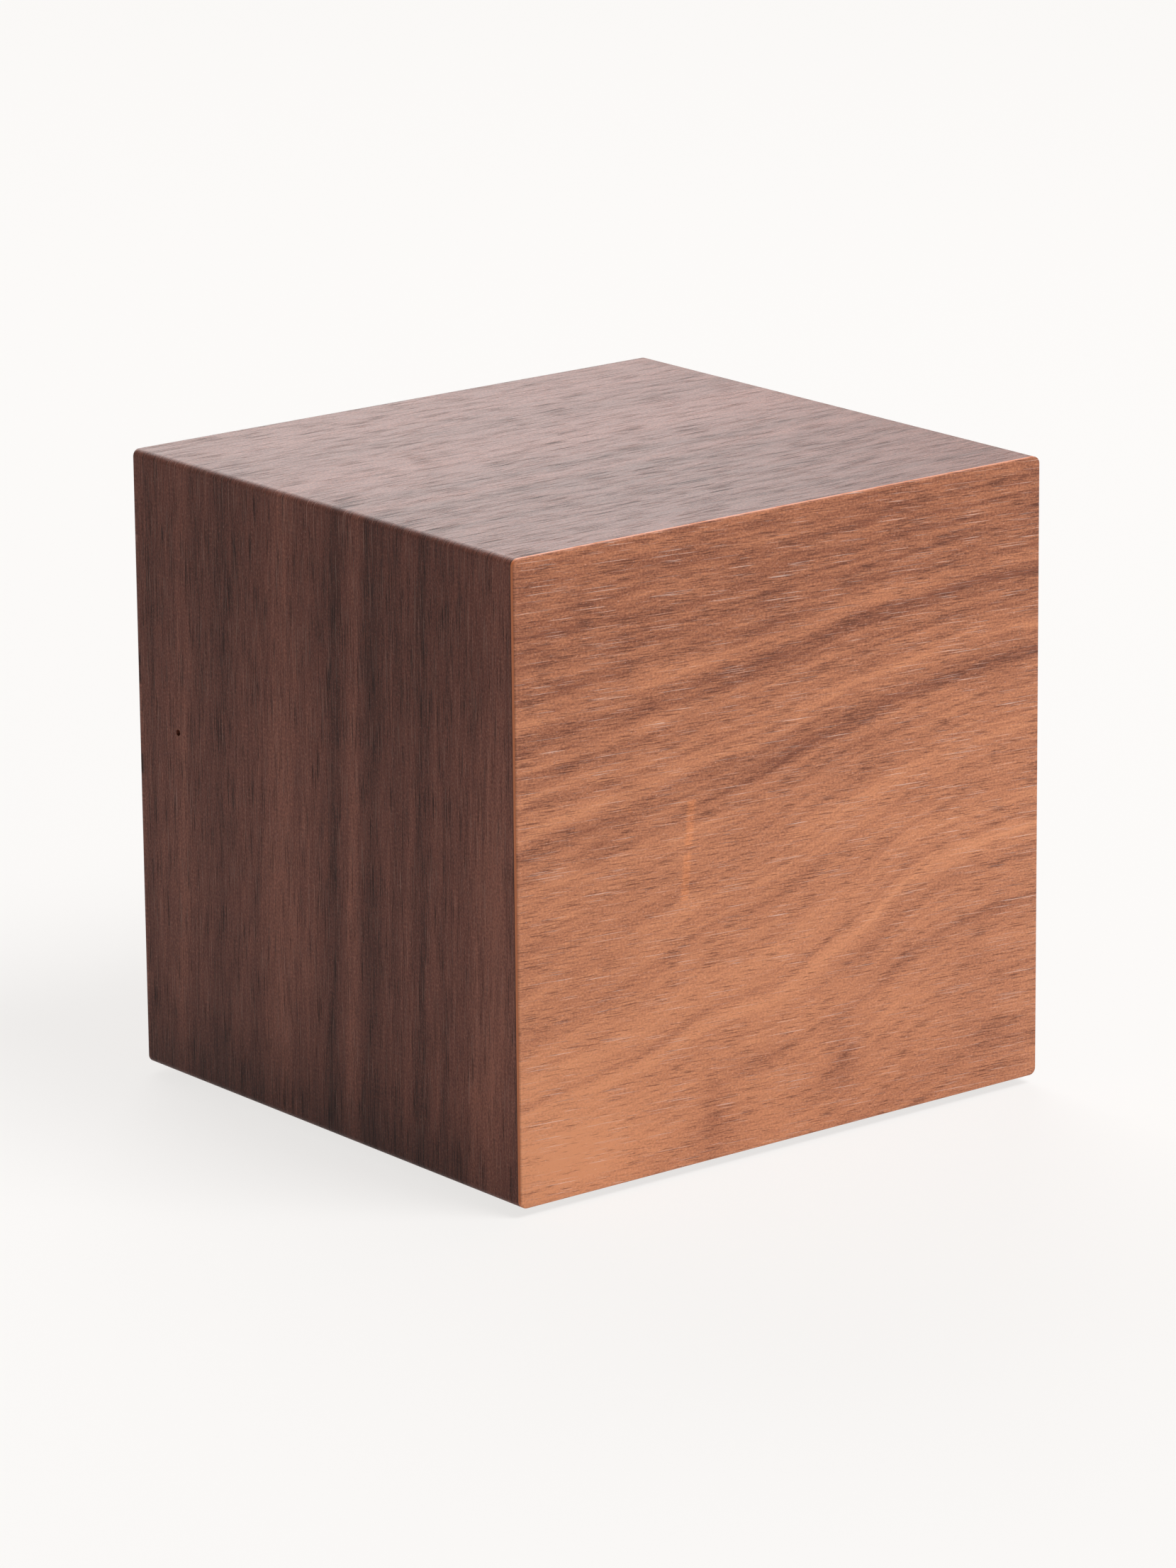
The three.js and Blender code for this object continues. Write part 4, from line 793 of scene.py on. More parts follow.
# %% Folded sheet
TRAY_FIT = 0.2 * MM
TRAY_CORNER = 2.2 * MM
OVERRUN = 1 * MM
HOLE_DIAMETER = 0.8 * MM
HOLE_INSET = 7.5 * MM
HOLE_RISE = 43.7 * MM
HOLE_SIDES = 24
tray_low, tray_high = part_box("battery_tray")
wrap_sizes = {
    "Width": WIDTH, "Height": HEIGHT, "Depth": wrap_high.y - wrap_low.y, "Fold radius": FOLD_RADIUS,
    "Thickness": SHEET, "Middle": MIDDLE_Z, "Back": wrap_high.y, "Opening length": tray_high.x - tray_low.x,
    "Opening width": tray_high.y - tray_low.y, "Opening fit": TRAY_FIT, "Opening corner": TRAY_CORNER,
    "Hole": HOLE_DIAMETER / 2, "Hole inset": HOLE_INSET, "Hole rise": HOLE_RISE, "Fold steps": 8,
}
sheet, size, shape = new_form("folded_sheet", wrap_sizes)
steps = size["Fold steps"]
outer = prism(sheet, size["Width"], size["Height"], size["Fold radius"], steps, size["Depth"])
twice = size["Thickness"] * 2.0
inner_radius = size["Fold radius"] - size["Thickness"]
long_depth = size["Depth"] + 2 * OVERRUN
inner = prism(sheet, size["Width"] - twice, size["Height"] - twice, inner_radius, steps, long_depth)
tube = carved(sheet, outer, moved(sheet, inner, z=-OVERRUN))
tube = moved(sheet, tube, y=size["Back"], z=size["Middle"], turn=TO_FACE)
fit = size["Opening fit"] * 2.0
opening = prism(
    sheet, size["Opening length"] + fit, size["Opening width"] + fit, size["Opening corner"], steps,
    size["Middle"],
)
drill = sheet.form("MeshCylinder", {"Vertices": HOLE_SIDES, "Radius": size["Hole"], "Depth": 2 * OVERRUN})
hole_z = size["Height"] * -0.5 + (size["Middle"] + size["Hole rise"])
drill = moved(
    sheet, drill, x=size["Width"] * -0.5, y=size["Back"] - size["Hole inset"], z=hole_z,
    turn=(0.0, QUARTER_TURN, 0.0),
)
sheet.feed(shape, carved(sheet, tube, opening, drill))
print("folded sheet of", len(sheet.tree.nodes), "nodes")

# %% Map of the folded sheet
def unrolled(x, z):
    """Millimetres round the sheet, from the lower left fold up the left side and over."""
    turns = [(-1, 0, HEIGHT, z), (0, 1, WIDTH, x), (1, 0, HEIGHT, -z), (0, -1, WIDTH, -x)]
    side = max(range(4), key=lambda i: turns[i][0] * x / WIDTH + turns[i][1] * z / HEIGHT)
    start = sum(length for _, _, length, _ in turns[:side])
    return (start + turns[side][2] / 2 + turns[side][3]) / MM


def map_sheet(mesh):
    """Writes the unrolled map. A face takes its side from its middle, so that no face spans the seam."""
    places = mesh.uv_layers.new(name="grain")
    for polygon in mesh.polygons:
        middle = unrolled(polygon.center.x, polygon.center.z - MIDDLE_Z)
        for corner in polygon.loop_indices:
            point = mesh.vertices[mesh.loops[corner].vertex_index].co
            place = unrolled(point.x, point.z - MIDDLE_Z)
            if abs(place - middle) > WIDTH / MM:
                place += math.copysign(2 * (WIDTH + HEIGHT) / MM, middle - place)
            places.data[corner].uv = (place, (wrap_high.y - point.y) / MM)


print("once round is", round(2 * (WIDTH + HEIGHT) / MM), "mm")

# %% [markdown]
# On the dark sheet the bands run up the left side and on across the top. They lean a little on the side, and
# their strengths change from the lower left fold to the right one. Patches darken the foot of the side, the
# fold and the back of the top. At the foot this is painted shade, for the floor beside the block lies in its
# shadow, and on the top it is painted shade across the glare. The colours of the sheet are darker than the
# front's walnut, as painted shade of the sides. The lacquer has a low specular level, which keeps the side
# deep, and its gloss shows at the flat angle at which the top is seen. The back sheet is cut from the same
# wood, so one function makes both finishes.

# %% Bands and patches of the dark sheets
WRAP_LEAN = 2.5
WRAP_WANDER = 1.2
WRAP_WANDER_LENGTH = 28.0
WRAP_WANDER_WIDTH = 5.0
DEPTH = (wrap_high.y - wrap_low.y) / MM
SEAM_WIDTH = 0.18
SEAM_COLOUR = srgb(66, 38, 30)
WRAP_ROUGHNESS = 0.42
WRAP_STREAK = 1.6
TOP_FADE = 0.5
FADE_BEFORE = 3
FADE_AFTER = 5
WRAP_BANDS = [
    (3.0, 1.0, 0.35, 0.2), (9.5, 1.2, -0.4, -0.1), (12.2, 1.6, 0.1, 0.35), (17.5, 2.6, 0.35, 0.45),
    (24.3, 1.5, 0.3, -0.4), (29.6, 3.0, -0.45, -0.45), (35.0, 1.0, -0.2, 0.1), (40.0, 1.5, 0.75, 0.45),
    (43.9, 1.2, -0.5, -0.3), (47.4, 2.0, 0.7, 0.5), (52.2, 1.1, 0.3, 0.45), (57.1, 1.2, 0.65, 0.4),
    (61.5, 0.6, 0.3, 0.1), (67.3, 0.9, -0.4, 0.6), (71.0, 3.0, -0.7, 0.0),
]
WHOLE_DEPTH = 200.0
# The first patch is painted shade at the foot of the left side and the last is painted shade on the top; the
# middle one darkens the upper side and the fold.
WRAP_PATCHES = [
    (0.0, 37.0, 8.0, WHOLE_DEPTH, 0.55), (66.0, 37.0, 16.0, WHOLE_DEPTH, 0.3), (117.0, 70.0, 34.0, 40.0, 0.4),
]
BACK_BANDS = [
    (4.0, 2.0, -0.3, 0.1), (9.0, 1.2, 0.5, 0.4), (13.5, 1.6, -0.2, -0.4), (20.0, 2.2, 0.5, 0.6),
    (26.5, 1.6, -0.4, -0.3), (33.0, 1.4, 0.4, 0.2), (38.5, 2.4, 0.6, 0.7), (45.0, 1.8, -0.4, -0.5),
    (51.0, 1.2, 0.3, 0.5), (57.5, 2.0, 0.6, 0.3), (64.0, 1.6, -0.3, -0.2), (70.5, 1.6, 0.4, 0.5),
    (76.0, 1.4, -0.2, 0.2),
]
print(len(WRAP_BANDS), "bands on the wrap,", len(BACK_BANDS), "on the back")

# %% Finish: walnut darkened by painted shade
def walnut_darkened_by_painted_shade(slot, bands, seam_at):
    """Lacquered walnut on a sheet's own map, in colours darker than the front's as painted shade, with a glue
    line where the sheet ends.
    """
    dark, shader = new_finish(slot, {"Specular IOR Level": 0.12})
    along, from_edge, _ = dark.parts(dark.value("ShaderNodeUVMap", uv_map="grain"))
    up_side = dark.math("DIVIDE", along, HEIGHT / MM, clamp=True)
    wander_place = dark.vector(along / WRAP_WANDER_LENGTH, from_edge / WRAP_WANDER_WIDTH)
    wander = dark.noise(wander_place, detail=2.0) - NOISE_MIDDLE
    ring = from_edge + (1.0 - up_side) * WRAP_LEAN + wander * WRAP_WANDER
    run = dark.math("DIVIDE", along, (WIDTH + HEIGHT) / MM, clamp=True)
    fold = HEIGHT / MM
    fade = dark.ease(along, fold - FADE_BEFORE, fold + FADE_AFTER, 1.0, TOP_FADE)
    tone = total(dark, "figure_band", ring, run, bands) * fade
    # Patches add painted shade at the foot of the left side and on the top, and darken the fold.
    tone = tone + total(dark, "figure_and_shade_patch", along, from_edge, WRAP_PATCHES)
    # The pale hairline colour and the specks on this sheet are painted glints.
    surface = place_group(dark, "walnut_surface", {
        "Along": along, "Across": from_edge, "Ring": ring, "Figure and shade": tone, "Light": srgb(145, 91, 74),
        "Middle": srgb(108, 62, 50), "Dark": srgb(72, 35, 25), "Pore tint": srgb(98, 84, 84),
        "Hairline glint": srgb(178, 140, 126), "Streak amount": fade * WRAP_STREAK, "Strand amount": 1.3,
        "Mottle amount": 2.4, "Pore length": 6.0, "Pore width": 0.16, "Pore cut": 0.55, "Pore amount": 0.9,
        "Hairline length": 8.0, "Hairline width": 0.12, "Hairline cut": 0.62, "Hairline amount": 0.4,
        "Glint speck cut": 0.62, "Glint speck amount": 0.25,
    })
    seam = dark.ease(from_edge, seam_at - SEAM_WIDTH, seam_at - SEAM_WIDTH / 2)
    dark.feed(shader["Base Color"], dark.mix(seam, surface["Colour"], SEAM_COLOUR))
    lacquer(dark, shader, surface, WRAP_ROUGHNESS)


# Both dark sheets take colours darker than the front's walnut, which are painted shade.
walnut_darkened_by_painted_shade("wrap_walnut", WRAP_BANDS, DEPTH)
walnut_darkened_by_painted_shade("back_walnut", BACK_BANDS, (WIDTH + HEIGHT) / MM)
wrap_mesh = grown(sheet, wrap_sizes, "wrap_walnut")
map_sheet(wrap_mesh)
new_piece("wrap_sheet", wrap_mesh, "wrap_walnut", "cabinet", "wrap_veneer")

# %% [markdown]
# ## Back veneer
# The back end is the same kind of sheet as the front one, but it is drilled: three holes for the keys in a
# row, one rounded opening for the power socket, and small round holes in front of the buzzer and the
# microphone. The holes repeat, so Geometry Nodes place one drill on the points of a line or a circle and cut
# them all at once.

# %% Sizes of the back sheet
KEY_FIT = 0.3 * MM
KEY_CAP = 6.4 * MM
KEY_HOLE_SIDES = 64
PORT_WIDTH = 12.4 * MM
PORT_HEIGHT = 8.4 * MM
PORT_CORNER = 1 * MM
PORT_STEPS = 6
SOUND_SPREAD = 2.6 * MM
SOUND_HOLE = 1.5 * MM
EIGHTH_TURN = QUARTER_TURN / 2
DRILL_DEPTH = 4 * MM
back_sizes = {
    "Plane": back_high.y, "Key hole": KEY_CAP / 2 + KEY_FIT,
    "Key gap": middle_of("set_button").x - middle_of("up_button").x, "Key rise": middle_of("up_button").z,
    "Port width": PORT_WIDTH, "Port height": PORT_HEIGHT, "Port corner": PORT_CORNER,
    "Port rise": middle_of("microphone").z, "Sound place": middle_of("microphone").x,
    "Sound spread": SOUND_SPREAD, "Sound hole": SOUND_HOLE / 2, "Sound count": 4, "Key count": 3,
}
print("keys", round(back_sizes["Key gap"] / MM, 1), "mm apart")

# %% Drilled back sheet
drilled, size, shape = new_form("drilled_sheet", back_sizes)


def placed(tree, points, body):
    """A copy of a body on each point."""
    return tree.form("InstanceOnPoints", {"Points": points, "Instance": body})


def row_of(tree, count, start, gap):
    """Points in a row along X."""
    inputs = {"Count": count, "Start Location": tree.vector(start, 0.0), "Offset": tree.vector(gap, 0.0)}
    return tree.form("MeshLine", inputs)


def drill_bits(points, radius, sides, x=0.0, z=0.0, spin=0.0):
    """Drills on points in the plane of the sheet, set across it."""
    bit = drilled.form("MeshCylinder", {"Vertices": sides, "Radius": radius, "Depth": DRILL_DEPTH})
    real = drilled.form("RealizeInstances", {"Geometry": placed(drilled, points, bit)})
    spun = moved(drilled, real, turn=(0.0, 0.0, spin))
    return moved(drilled, spun, x=x, y=size["Plane"], z=z, turn=TO_FACE)


key_points = row_of(drilled, size["Key count"], size["Key gap"] * -1.0, size["Key gap"])
sound_points = drilled.form("MeshCircle", {"Vertices": size["Sound count"], "Radius": size["Sound spread"]})
one_point = drilled.form("MeshLine", {"Count": 1})
buzzer_x = size["Sound place"] * -1.0
port = prism(drilled, size["Port width"], size["Port height"], size["Port corner"], PORT_STEPS, DRILL_DEPTH)
port = moved(drilled, port, z=-DRILL_DEPTH / 2)
port = moved(drilled, port, y=size["Plane"], z=size["Port rise"], turn=TO_FACE)
sound = {"radius": size["Sound hole"], "sides": HOLE_SIDES, "z": size["Port rise"]}
drilled.feed(shape, carved(
    drilled, size["Start"], port,
    drill_bits(key_points, size["Key hole"], KEY_HOLE_SIDES, z=size["Key rise"]),
    drill_bits(one_point, x=size["Sound place"], **sound),
    drill_bits(one_point, x=buzzer_x, **sound),
    drill_bits(sound_points, x=buzzer_x, spin=EIGHTH_TURN, **sound),
))
back_mesh = grown(drilled, back_sizes, "back_walnut", end_sheet(wrap_high.y, back_high.y))
back_map = back_mesh.uv_layers.new(name="grain")
for loop in back_mesh.loops:
    point = back_mesh.vertices[loop.vertex_index].co
    back_map.data[loop.index].uv = ((point.z - back_low.z) / MM, (point.x - back_low.x) / MM)
new_piece("back_sheet", back_mesh, "wrap_walnut", "cabinet", "back_veneer", finish="back_walnut")

# %% [markdown]
# ## Moulded and drawn surfaces
# Plastic and rubber parts get a fine moulded grain, a cloudy roughness and a little bloom where hands or the
# mould have rubbed them. Metal parts get drawing marks along one direction and faint stains. Both are groups
# that read a place in millimetres, and a table gives each finish its own values.

# %% Groups: moulded surface and drawn metal
GRAIN_TONE = 0.35
CLOUD_EDGES = (0.48, 0.7)
STAIN_SCALE = 0.35
STAIN_EDGES = (0.48, 0.72)
GRAIN_DEPTH = 0.012 * MM
moulded, given, result = new_group(
    "moulded_surface",
    {
        "Place": (0.0, 0.0, 0.0), "Tint": srgb(28, 28, 30), "Bloom": srgb(70, 70, 72), "Bloom amount": 0.3,
        "Grain size": 0.3, "Cloud size": 6.0, "Roughness": 0.55, "Swing": 0.2,
    },
    {"Colour": 4, "Roughness": 1, "Height": 1},
)
grain = moulded.noise(given["Place"], moulded.math("DIVIDE", 1.0, given["Grain size"]), detail=1.0)
cloud = moulded.noise(given["Place"], moulded.math("DIVIDE", 1.0, given["Cloud size"]), detail=3.0)
rubbed = (grain * GRAIN_TONE + moulded.ease(cloud, *CLOUD_EDGES)) * given["Bloom amount"]
moulded.feed(result["Colour"], moulded.mix(rubbed, given["Tint"], given["Bloom"]))
moulded.feed(result["Roughness"], (cloud - NOISE_MIDDLE) * given["Swing"] + given["Roughness"])
moulded.feed(result["Height"], grain)

metal, given, result = new_group(
    "drawn_metal",
    {
        "Place": (0.0, 0.0, 0.0), "Stretch": (0.4, 9.0, 9.0), "Tint": srgb(196, 199, 201),
        "Stain": srgb(150, 144, 132), "Stain amount": 0.5, "Roughness": 0.3, "Swing": 0.25,
    },
    {"Colour": 4, "Roughness": 1, "Height": 1},
)
inputs = {0: given["Place"], 1: given["Stretch"]}
marks = metal.noise(metal.value("ShaderNodeVectorMath", inputs, operation="MULTIPLY"), detail=2.0)
stain = metal.ease(metal.noise(given["Place"], STAIN_SCALE, detail=3.0), *STAIN_EDGES)
metal.feed(result["Colour"], metal.mix(stain * given["Stain amount"], given["Tint"], given["Stain"]))
metal.feed(result["Roughness"], (marks - NOISE_MIDDLE) * given["Swing"] + given["Roughness"])
metal.feed(result["Height"], marks)
print("surface groups ready")

# %% Tables: plastic, rubber, cable and metal
MOULDED_COLUMNS = ("Tint", "Bloom", "Bloom amount", "Grain size", "Cloud size", "Roughness", "Swing")
MOULDED = {
    "housing_black": (srgb(27, 27, 29), srgb(64, 64, 67), 0.3, 0.3, 9.0, 0.6, 0.2),
    "button_black": (srgb(26, 26, 28), srgb(84, 84, 88), 0.22, 0.16, 3.0, 0.42, 0.2),
    "tray_black": (srgb(29, 29, 31), srgb(74, 74, 77), 0.3, 0.35, 11.0, 0.58, 0.2),
    "chip_black": (srgb(24, 25, 27), srgb(70, 71, 74), 0.3, 0.12, 4.0, 0.6, 0.2),
    "pale_nylon": (srgb(229, 224, 211), srgb(204, 194, 170), 0.3, 0.5, 4.0, 0.5, 0.2),
    "black_wire": (srgb(24, 24, 25), srgb(80, 80, 82), 0.3, 0.2, 2.5, 0.5, 0.2),
    "red_wire": (srgb(176, 30, 26), srgb(206, 88, 78), 0.3, 0.2, 2.5, 0.5, 0.2),
    "grey_ribbon": (srgb(156, 158, 162), srgb(186, 187, 190), 0.3, 0.3, 5.0, 0.55, 0.2),
    "foot_rubber": (srgb(40, 39, 36), srgb(98, 94, 86), 0.5, 0.4, 2.0, 0.85, 0.1),
    "segment_resin": (srgb(226, 220, 206), srgb(200, 190, 168), 0.3, 0.6, 3.0, 0.35, 0.2),
    "cell_jacket": (srgb(58, 63, 71), srgb(92, 98, 106), 0.3, 0.2, 8.0, 0.34, 0.2),
}
METAL_COLUMNS = ("Tint", "Stain", "Stretch", "Roughness")
METALS = {
    "tinned_metal": (srgb(198, 201, 203), srgb(150, 144, 132), (1.2, 6.0, 1.2), 0.32),
    "contact_metal": (srgb(203, 202, 196), srgb(150, 144, 132), (8.0, 0.5, 8.0), 0.26),
    "screw_steel": (srgb(158, 160, 162), srgb(120, 116, 108), (5.0, 5.0, 5.0), 0.36),
}
MOULDED_SHADER = {"Specular IOR Level": 0.4}
SHADERS = {
    "segment_resin": {"Specular IOR Level": 0.5, "Emission Strength": 1.0},
    "cell_jacket": {"Metallic": 0.6, "Specular IOR Level": 0.5},
}
print(len(MOULDED), "moulded finishes,", len(METALS), "metals")

# %% Finishes from the tables
def millimetres(tree):
    """The place on the piece, in millimetres."""
    return tree.value("ShaderNodeVectorMath", {0: tree.place(), "Scale": 1 / MM}, operation="SCALE")


def worn_finish(slot, group, columns, row, constants):
    """A finish that one surface group makes from a row of a table. Returns its tree, shader and looks."""
    tree, shader = new_finish(slot, constants)
    looks = place_group(tree, group, {"Place": millimetres(tree), **dict(zip(columns, row))})
    tree.feed(shader["Base Color"], looks["Colour"])
    tree.feed(shader["Roughness"], looks["Roughness"])
    tree.feed(shader["Normal"], bump(tree, looks["Height"], GRAIN_DEPTH))
    return tree, shader, looks


worn = {}
for slot, row in MOULDED.items():
    constants = SHADERS.get(slot, MOULDED_SHADER)
    worn[slot] = worn_finish(slot, "moulded_surface", MOULDED_COLUMNS, row, constants)
for slot, row in METALS.items():
    worn[slot] = worn_finish(slot, "drawn_metal", METAL_COLUMNS, row, {"Metallic": 1.0})
print("made:", ", ".join(worn))

# %% [markdown]
# Fibreboard is pressed from wood fibres, so it shows short flecks of several browns. A circuit board shows
# its copper as paler lines under the green mask, in runs that turn at right angles, and small tinned rings
# where a run goes through the board. Its pattern is laid in blocks: each block draws its lines one way or
# the other.

# %% Finish: fibreboard
FIBRE = srgb(172, 141, 101)
FLECKS = [
    {"scale": 2.4, "shift": 0.2, "cut": 0.54, "tint": srgb(120, 90, 58)},
    {"scale": 3.6, "shift": 0.5, "cut": 0.56, "tint": srgb(208, 184, 146)},
    {"scale": 7.0, "shift": 1.5, "cut": 0.6, "tint": srgb(92, 66, 42)},
]
FLECK_SOFTNESS = 0.1
FLECK_AMOUNT = 0.6
FIBRE_DEPTH = 0.06 * MM
fibre, shader = new_finish("fibreboard", {"Roughness": 0.9, "Specular IOR Level": 0.2})
place = millimetres(fibre)
colour = FIBRE
for kind in FLECKS:
    shift = (kind["shift"],) * 3
    shifted = fibre.value("ShaderNodeVectorMath", {0: place, 1: shift}, operation="ADD")
    fleck = fibre.noise(shifted, kind["scale"], detail=3.0, roughness=0.7)
    share = fibre.ease(fleck, kind["cut"], kind["cut"] + FLECK_SOFTNESS) * FLECK_AMOUNT
    colour = fibre.mix(share, colour, kind["tint"])
fibre.feed(shader["Base Color"], colour)
fibre.feed(shader["Normal"], bump(fibre, fleck, FIBRE_DEPTH))
print("fibreboard with", len(FLECKS), "kinds of fleck")

# %% Finish: circuit board
BLOCK = 5.08
TRACK_GAP = 1.27
TRACK_HALF = 0.14
VIA_GAP = 2.54
VIA_RADIUS = 0.42
VIA_BORE = 0.2
VIA_CUT = 0.9
BARE_CUT = 0.3
LEVEL_CUT = 0.5
COPPER_DEPTH = 0.03 * MM
MASK_GREEN = srgb(22, 78, 48)
TRACK_GREEN = srgb(38, 112, 66)
VIA_TIN = srgb(196, 198, 192)
board, shader = new_finish("circuit_board", {"Roughness": 0.38})
board_x, _, board_z = board.parts(millimetres(board))


def random_of(gap, seed):
    """A fixed random value for each square of a grid on the board."""
    column = board.math("FLOOR", board_x / gap)
    row = board.math("FLOOR", board_z / gap)
    inputs = {"Vector": board.vector(column, row, seed)}
    return board.value("ShaderNodeTexWhiteNoise", inputs, "Value", noise_dimensions="3D")


def from_line(number, gap):
    """The distance from the nearest of the lines that lie in the middle of each gap."""
    return board.math("ABSOLUTE", board.math("FRACT", number / gap) - 0.5) * gap


def under(number, limit):
    """1 where a number is under a limit, and 0 elsewhere."""
    return board.math("LESS_THAN", number, limit)


def over(number, limit):
    """1 where a number is over a limit, and 0 elsewhere."""
    return board.math("GREATER_THAN", number, limit)


level_run = under(from_line(board_z, TRACK_GAP), TRACK_HALF)
upright_run = under(from_line(board_x, TRACK_GAP), TRACK_HALF)
track = board.mix(over(random_of(BLOCK, seed=1.0), LEVEL_CUT), level_run, upright_run)
track = track * over(random_of(BLOCK, seed=2.0), BARE_CUT)
aside = from_line(board_x, VIA_GAP)
above = from_line(board_z, VIA_GAP)
reach = board.math("SQRT", aside * aside + above * above)
ring = under(reach, VIA_RADIUS) * over(reach, VIA_BORE) * over(random_of(VIA_GAP, seed=3.0), VIA_CUT)
colour = board.mix(ring, board.mix(track, MASK_GREEN, TRACK_GREEN), VIA_TIN)
board.feed(shader["Base Color"], colour)
board.feed(shader["Metallic"], ring)
board.feed(shader["Normal"], bump(board, track + ring, COPPER_DEPTH))
print("circuit board laid in blocks of", BLOCK, "mm")

# %% [markdown]
# The display's windows are filled with milky resin. It glows where a bar is lit, so the same soft boxes that
# light the veneer are used here, larger and brighter. The sleeve of a cell gets one bright band round it.

# %% Finish: segment resin
RESIN_GLOW = (1.0, 0.3, 0.06, 1.0)
RESIN_HALF_WIDTH = 0.75
resin, shader, _ = worn["segment_resin"]
across, _, rise = resin.parts(millimetres(resin))
lit = [(centre, RESIN_HALF_WIDTH, low, high) for centre, _, low, high in GLOWS[:2]]
glow = total(resin, "lit_bar", across, rise - MIDDLE_Z / MM, lit)
resin.feed(shader["Emission Color"], resin.mix(glow, NO_GLOW, RESIN_GLOW))
print("resin glows in", len(lit), "bars")

# %% Finish: cell sleeve
SLEEVE_BAND = srgb(178, 182, 186)
BAND_START = 36.0
BAND_END = 37.2
BAND_EDGE = 0.08
sleeve, shader, looks = worn["cell_jacket"]
_, from_minus, _ = sleeve.parts(sleeve.value("ShaderNodeUVMap", uv_map="sleeve"))
after = sleeve.ease(from_minus, BAND_START - BAND_EDGE, BAND_START)
before = sleeve.ease(from_minus, BAND_END, BAND_END + BAND_EDGE, 1.0, 0.0)
sleeve.feed(shader["Base Color"], sleeve.mix(after * before, looks["Colour"], SLEEVE_BAND))
print("finishes:", len(finishes))

# %% [markdown]
# ## Turned parts: key caps, cells and feet
# A key cap, a battery and a foot are turned shapes. A profile of radius and height is swept round an axis,
# with enough sides for a smooth rim, and short arcs ease each edge as a mould or a press would leave it.

# %% Turn a profile
FINE_SIDES = 72
ALONG_Y = Matrix.Rotation(-QUARTER_TURN, 4, "X")


def turned(profile, place, sides=FINE_SIDES, uv_name=None):
    """A closed mesh turned about +Z and then placed. Its map, where one is named, runs round and along."""
    rings = []
    for radius, height in profile:
        steps = [2 * math.pi * i / sides for i in range(sides)]
        rings.append([place @ Vector((radius * math.cos(a), radius * math.sin(a), height)) for a in steps])
    mesh = lofted(rings)
    if uv_name:
        back = place.inverted()
        places = mesh.uv_layers.new(name=uv_name)
        for loop in mesh.loops:
            point = back @ mesh.vertices[loop.vertex_index].co
            around = math.atan2(point.y, point.x) / (2 * math.pi)
            places.data[loop.index].uv = (around, point.z / MM)
    return mesh


def arc(radius, height, size, start, end, steps=5):
    """Points on a small arc about a centre, from one angle to another in degrees."""
    angles = [math.radians(start + (end - start) * step / steps) for step in range(steps + 1)]
    return [(radius + size * math.cos(angle), height + size * math.sin(angle)) for angle in angles]


def gathered(meshes):
    """Several closed meshes as one."""
    form = bmesh.new()
    for mesh in meshes:
        form.from_mesh(mesh)
    return meshed(form)


print("turning helpers ready")

# %% Key caps
FLANGE = 1 * MM
FLANGE_EASE = 0.15 * MM
ROOT_FILLET = 0.25 * MM
CAP_ARRIS = 0.4 * MM
DISH = 0.22 * MM
DISH_STEPS = 8
for key in ("set", "up", "down"):
    low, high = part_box(key + "_button")
    middle = middle_of(key + "_button")
    flange_rim = (high.x - low.x) / 2 - FLANGE_EASE
    top = high.y - low.y
    rim = KEY_CAP / 2 - CAP_ARRIS
    profile = arc(flange_rim, FLANGE_EASE, FLANGE_EASE, -90, 0)
    profile += arc(flange_rim, FLANGE - FLANGE_EASE, FLANGE_EASE, 0, 90)
    profile += arc(KEY_CAP / 2 + ROOT_FILLET, FLANGE + ROOT_FILLET, ROOT_FILLET, 270, 180)
    profile += arc(rim, top - CAP_ARRIS, CAP_ARRIS, 0, 90)
    for step in range(1, DISH_STEPS):
        share = step / DISH_STEPS
        profile.append((rim * (1 - share), top - DISH * math.sin(share * QUARTER_TURN)))
    place = Matrix.Translation(Vector((middle.x, low.y, middle.z))) @ ALONG_Y
    new_piece(key + "_cap", turned(profile, place), "button_black", key + "_key", key + "_button")

# %% Cells
CELL_RIM = 0.3 * MM
CELL_SHOULDER = 0.5 * MM
SHOULDER_STEPS = 8
NUB_HEIGHT = 0.8 * MM
NUB_RADIUS = 1.9 * MM
NUB_EASE = 0.3 * MM
NUB_STEPS = 4
CRIMP = 0.9 * MM
END_PROUD = 0.08 * MM
CELLS = ("battery_1", "battery_2", "battery_3")
sleeves = []
ends = []
for node in CELLS:
    low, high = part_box(node)
    radius = (high.z - low.z) / 2
    length = high.x - low.x
    side = 1 if high.x > -low.x else -1
    minus_end = middle_of(node)
    minus_end.x = low.x if side > 0 else high.x
    place = Matrix.Translation(minus_end) @ Matrix.Rotation(side * QUARTER_TURN, 4, "Y")
    plate = radius - CRIMP
    shoulder = length - NUB_HEIGHT
    profile = [(plate, END_PROUD)]
    profile += arc(radius - CELL_RIM, END_PROUD + CELL_RIM, CELL_RIM, -90, 0)
    profile += arc(radius - CELL_SHOULDER, shoulder - CELL_SHOULDER, CELL_SHOULDER, 0, 90, SHOULDER_STEPS)
    sleeves.append(turned(profile + [(plate, shoulder)], place, uv_name="sleeve"))
    cup = arc(plate - END_PROUD, END_PROUD, END_PROUD, -90, 0)
    nub = [(plate, shoulder - CELL_RIM), (plate - END_PROUD, shoulder + END_PROUD)]
    nub += arc(NUB_RADIUS + NUB_EASE, shoulder + END_PROUD + NUB_EASE, NUB_EASE, 270, 180, NUB_STEPS)
    nub += arc(NUB_RADIUS - NUB_EASE, length - NUB_EASE, NUB_EASE, 0, 90)
    ends += [turned(cup + [(plate, CELL_RIM)], place), turned(nub, place)]
new_piece("cell_sleeves", gathered(sleeves), "cell_jacket", "cabinet", *CELLS)
new_piece("cell_ends", gathered(ends), "tinned_metal", "cabinet")

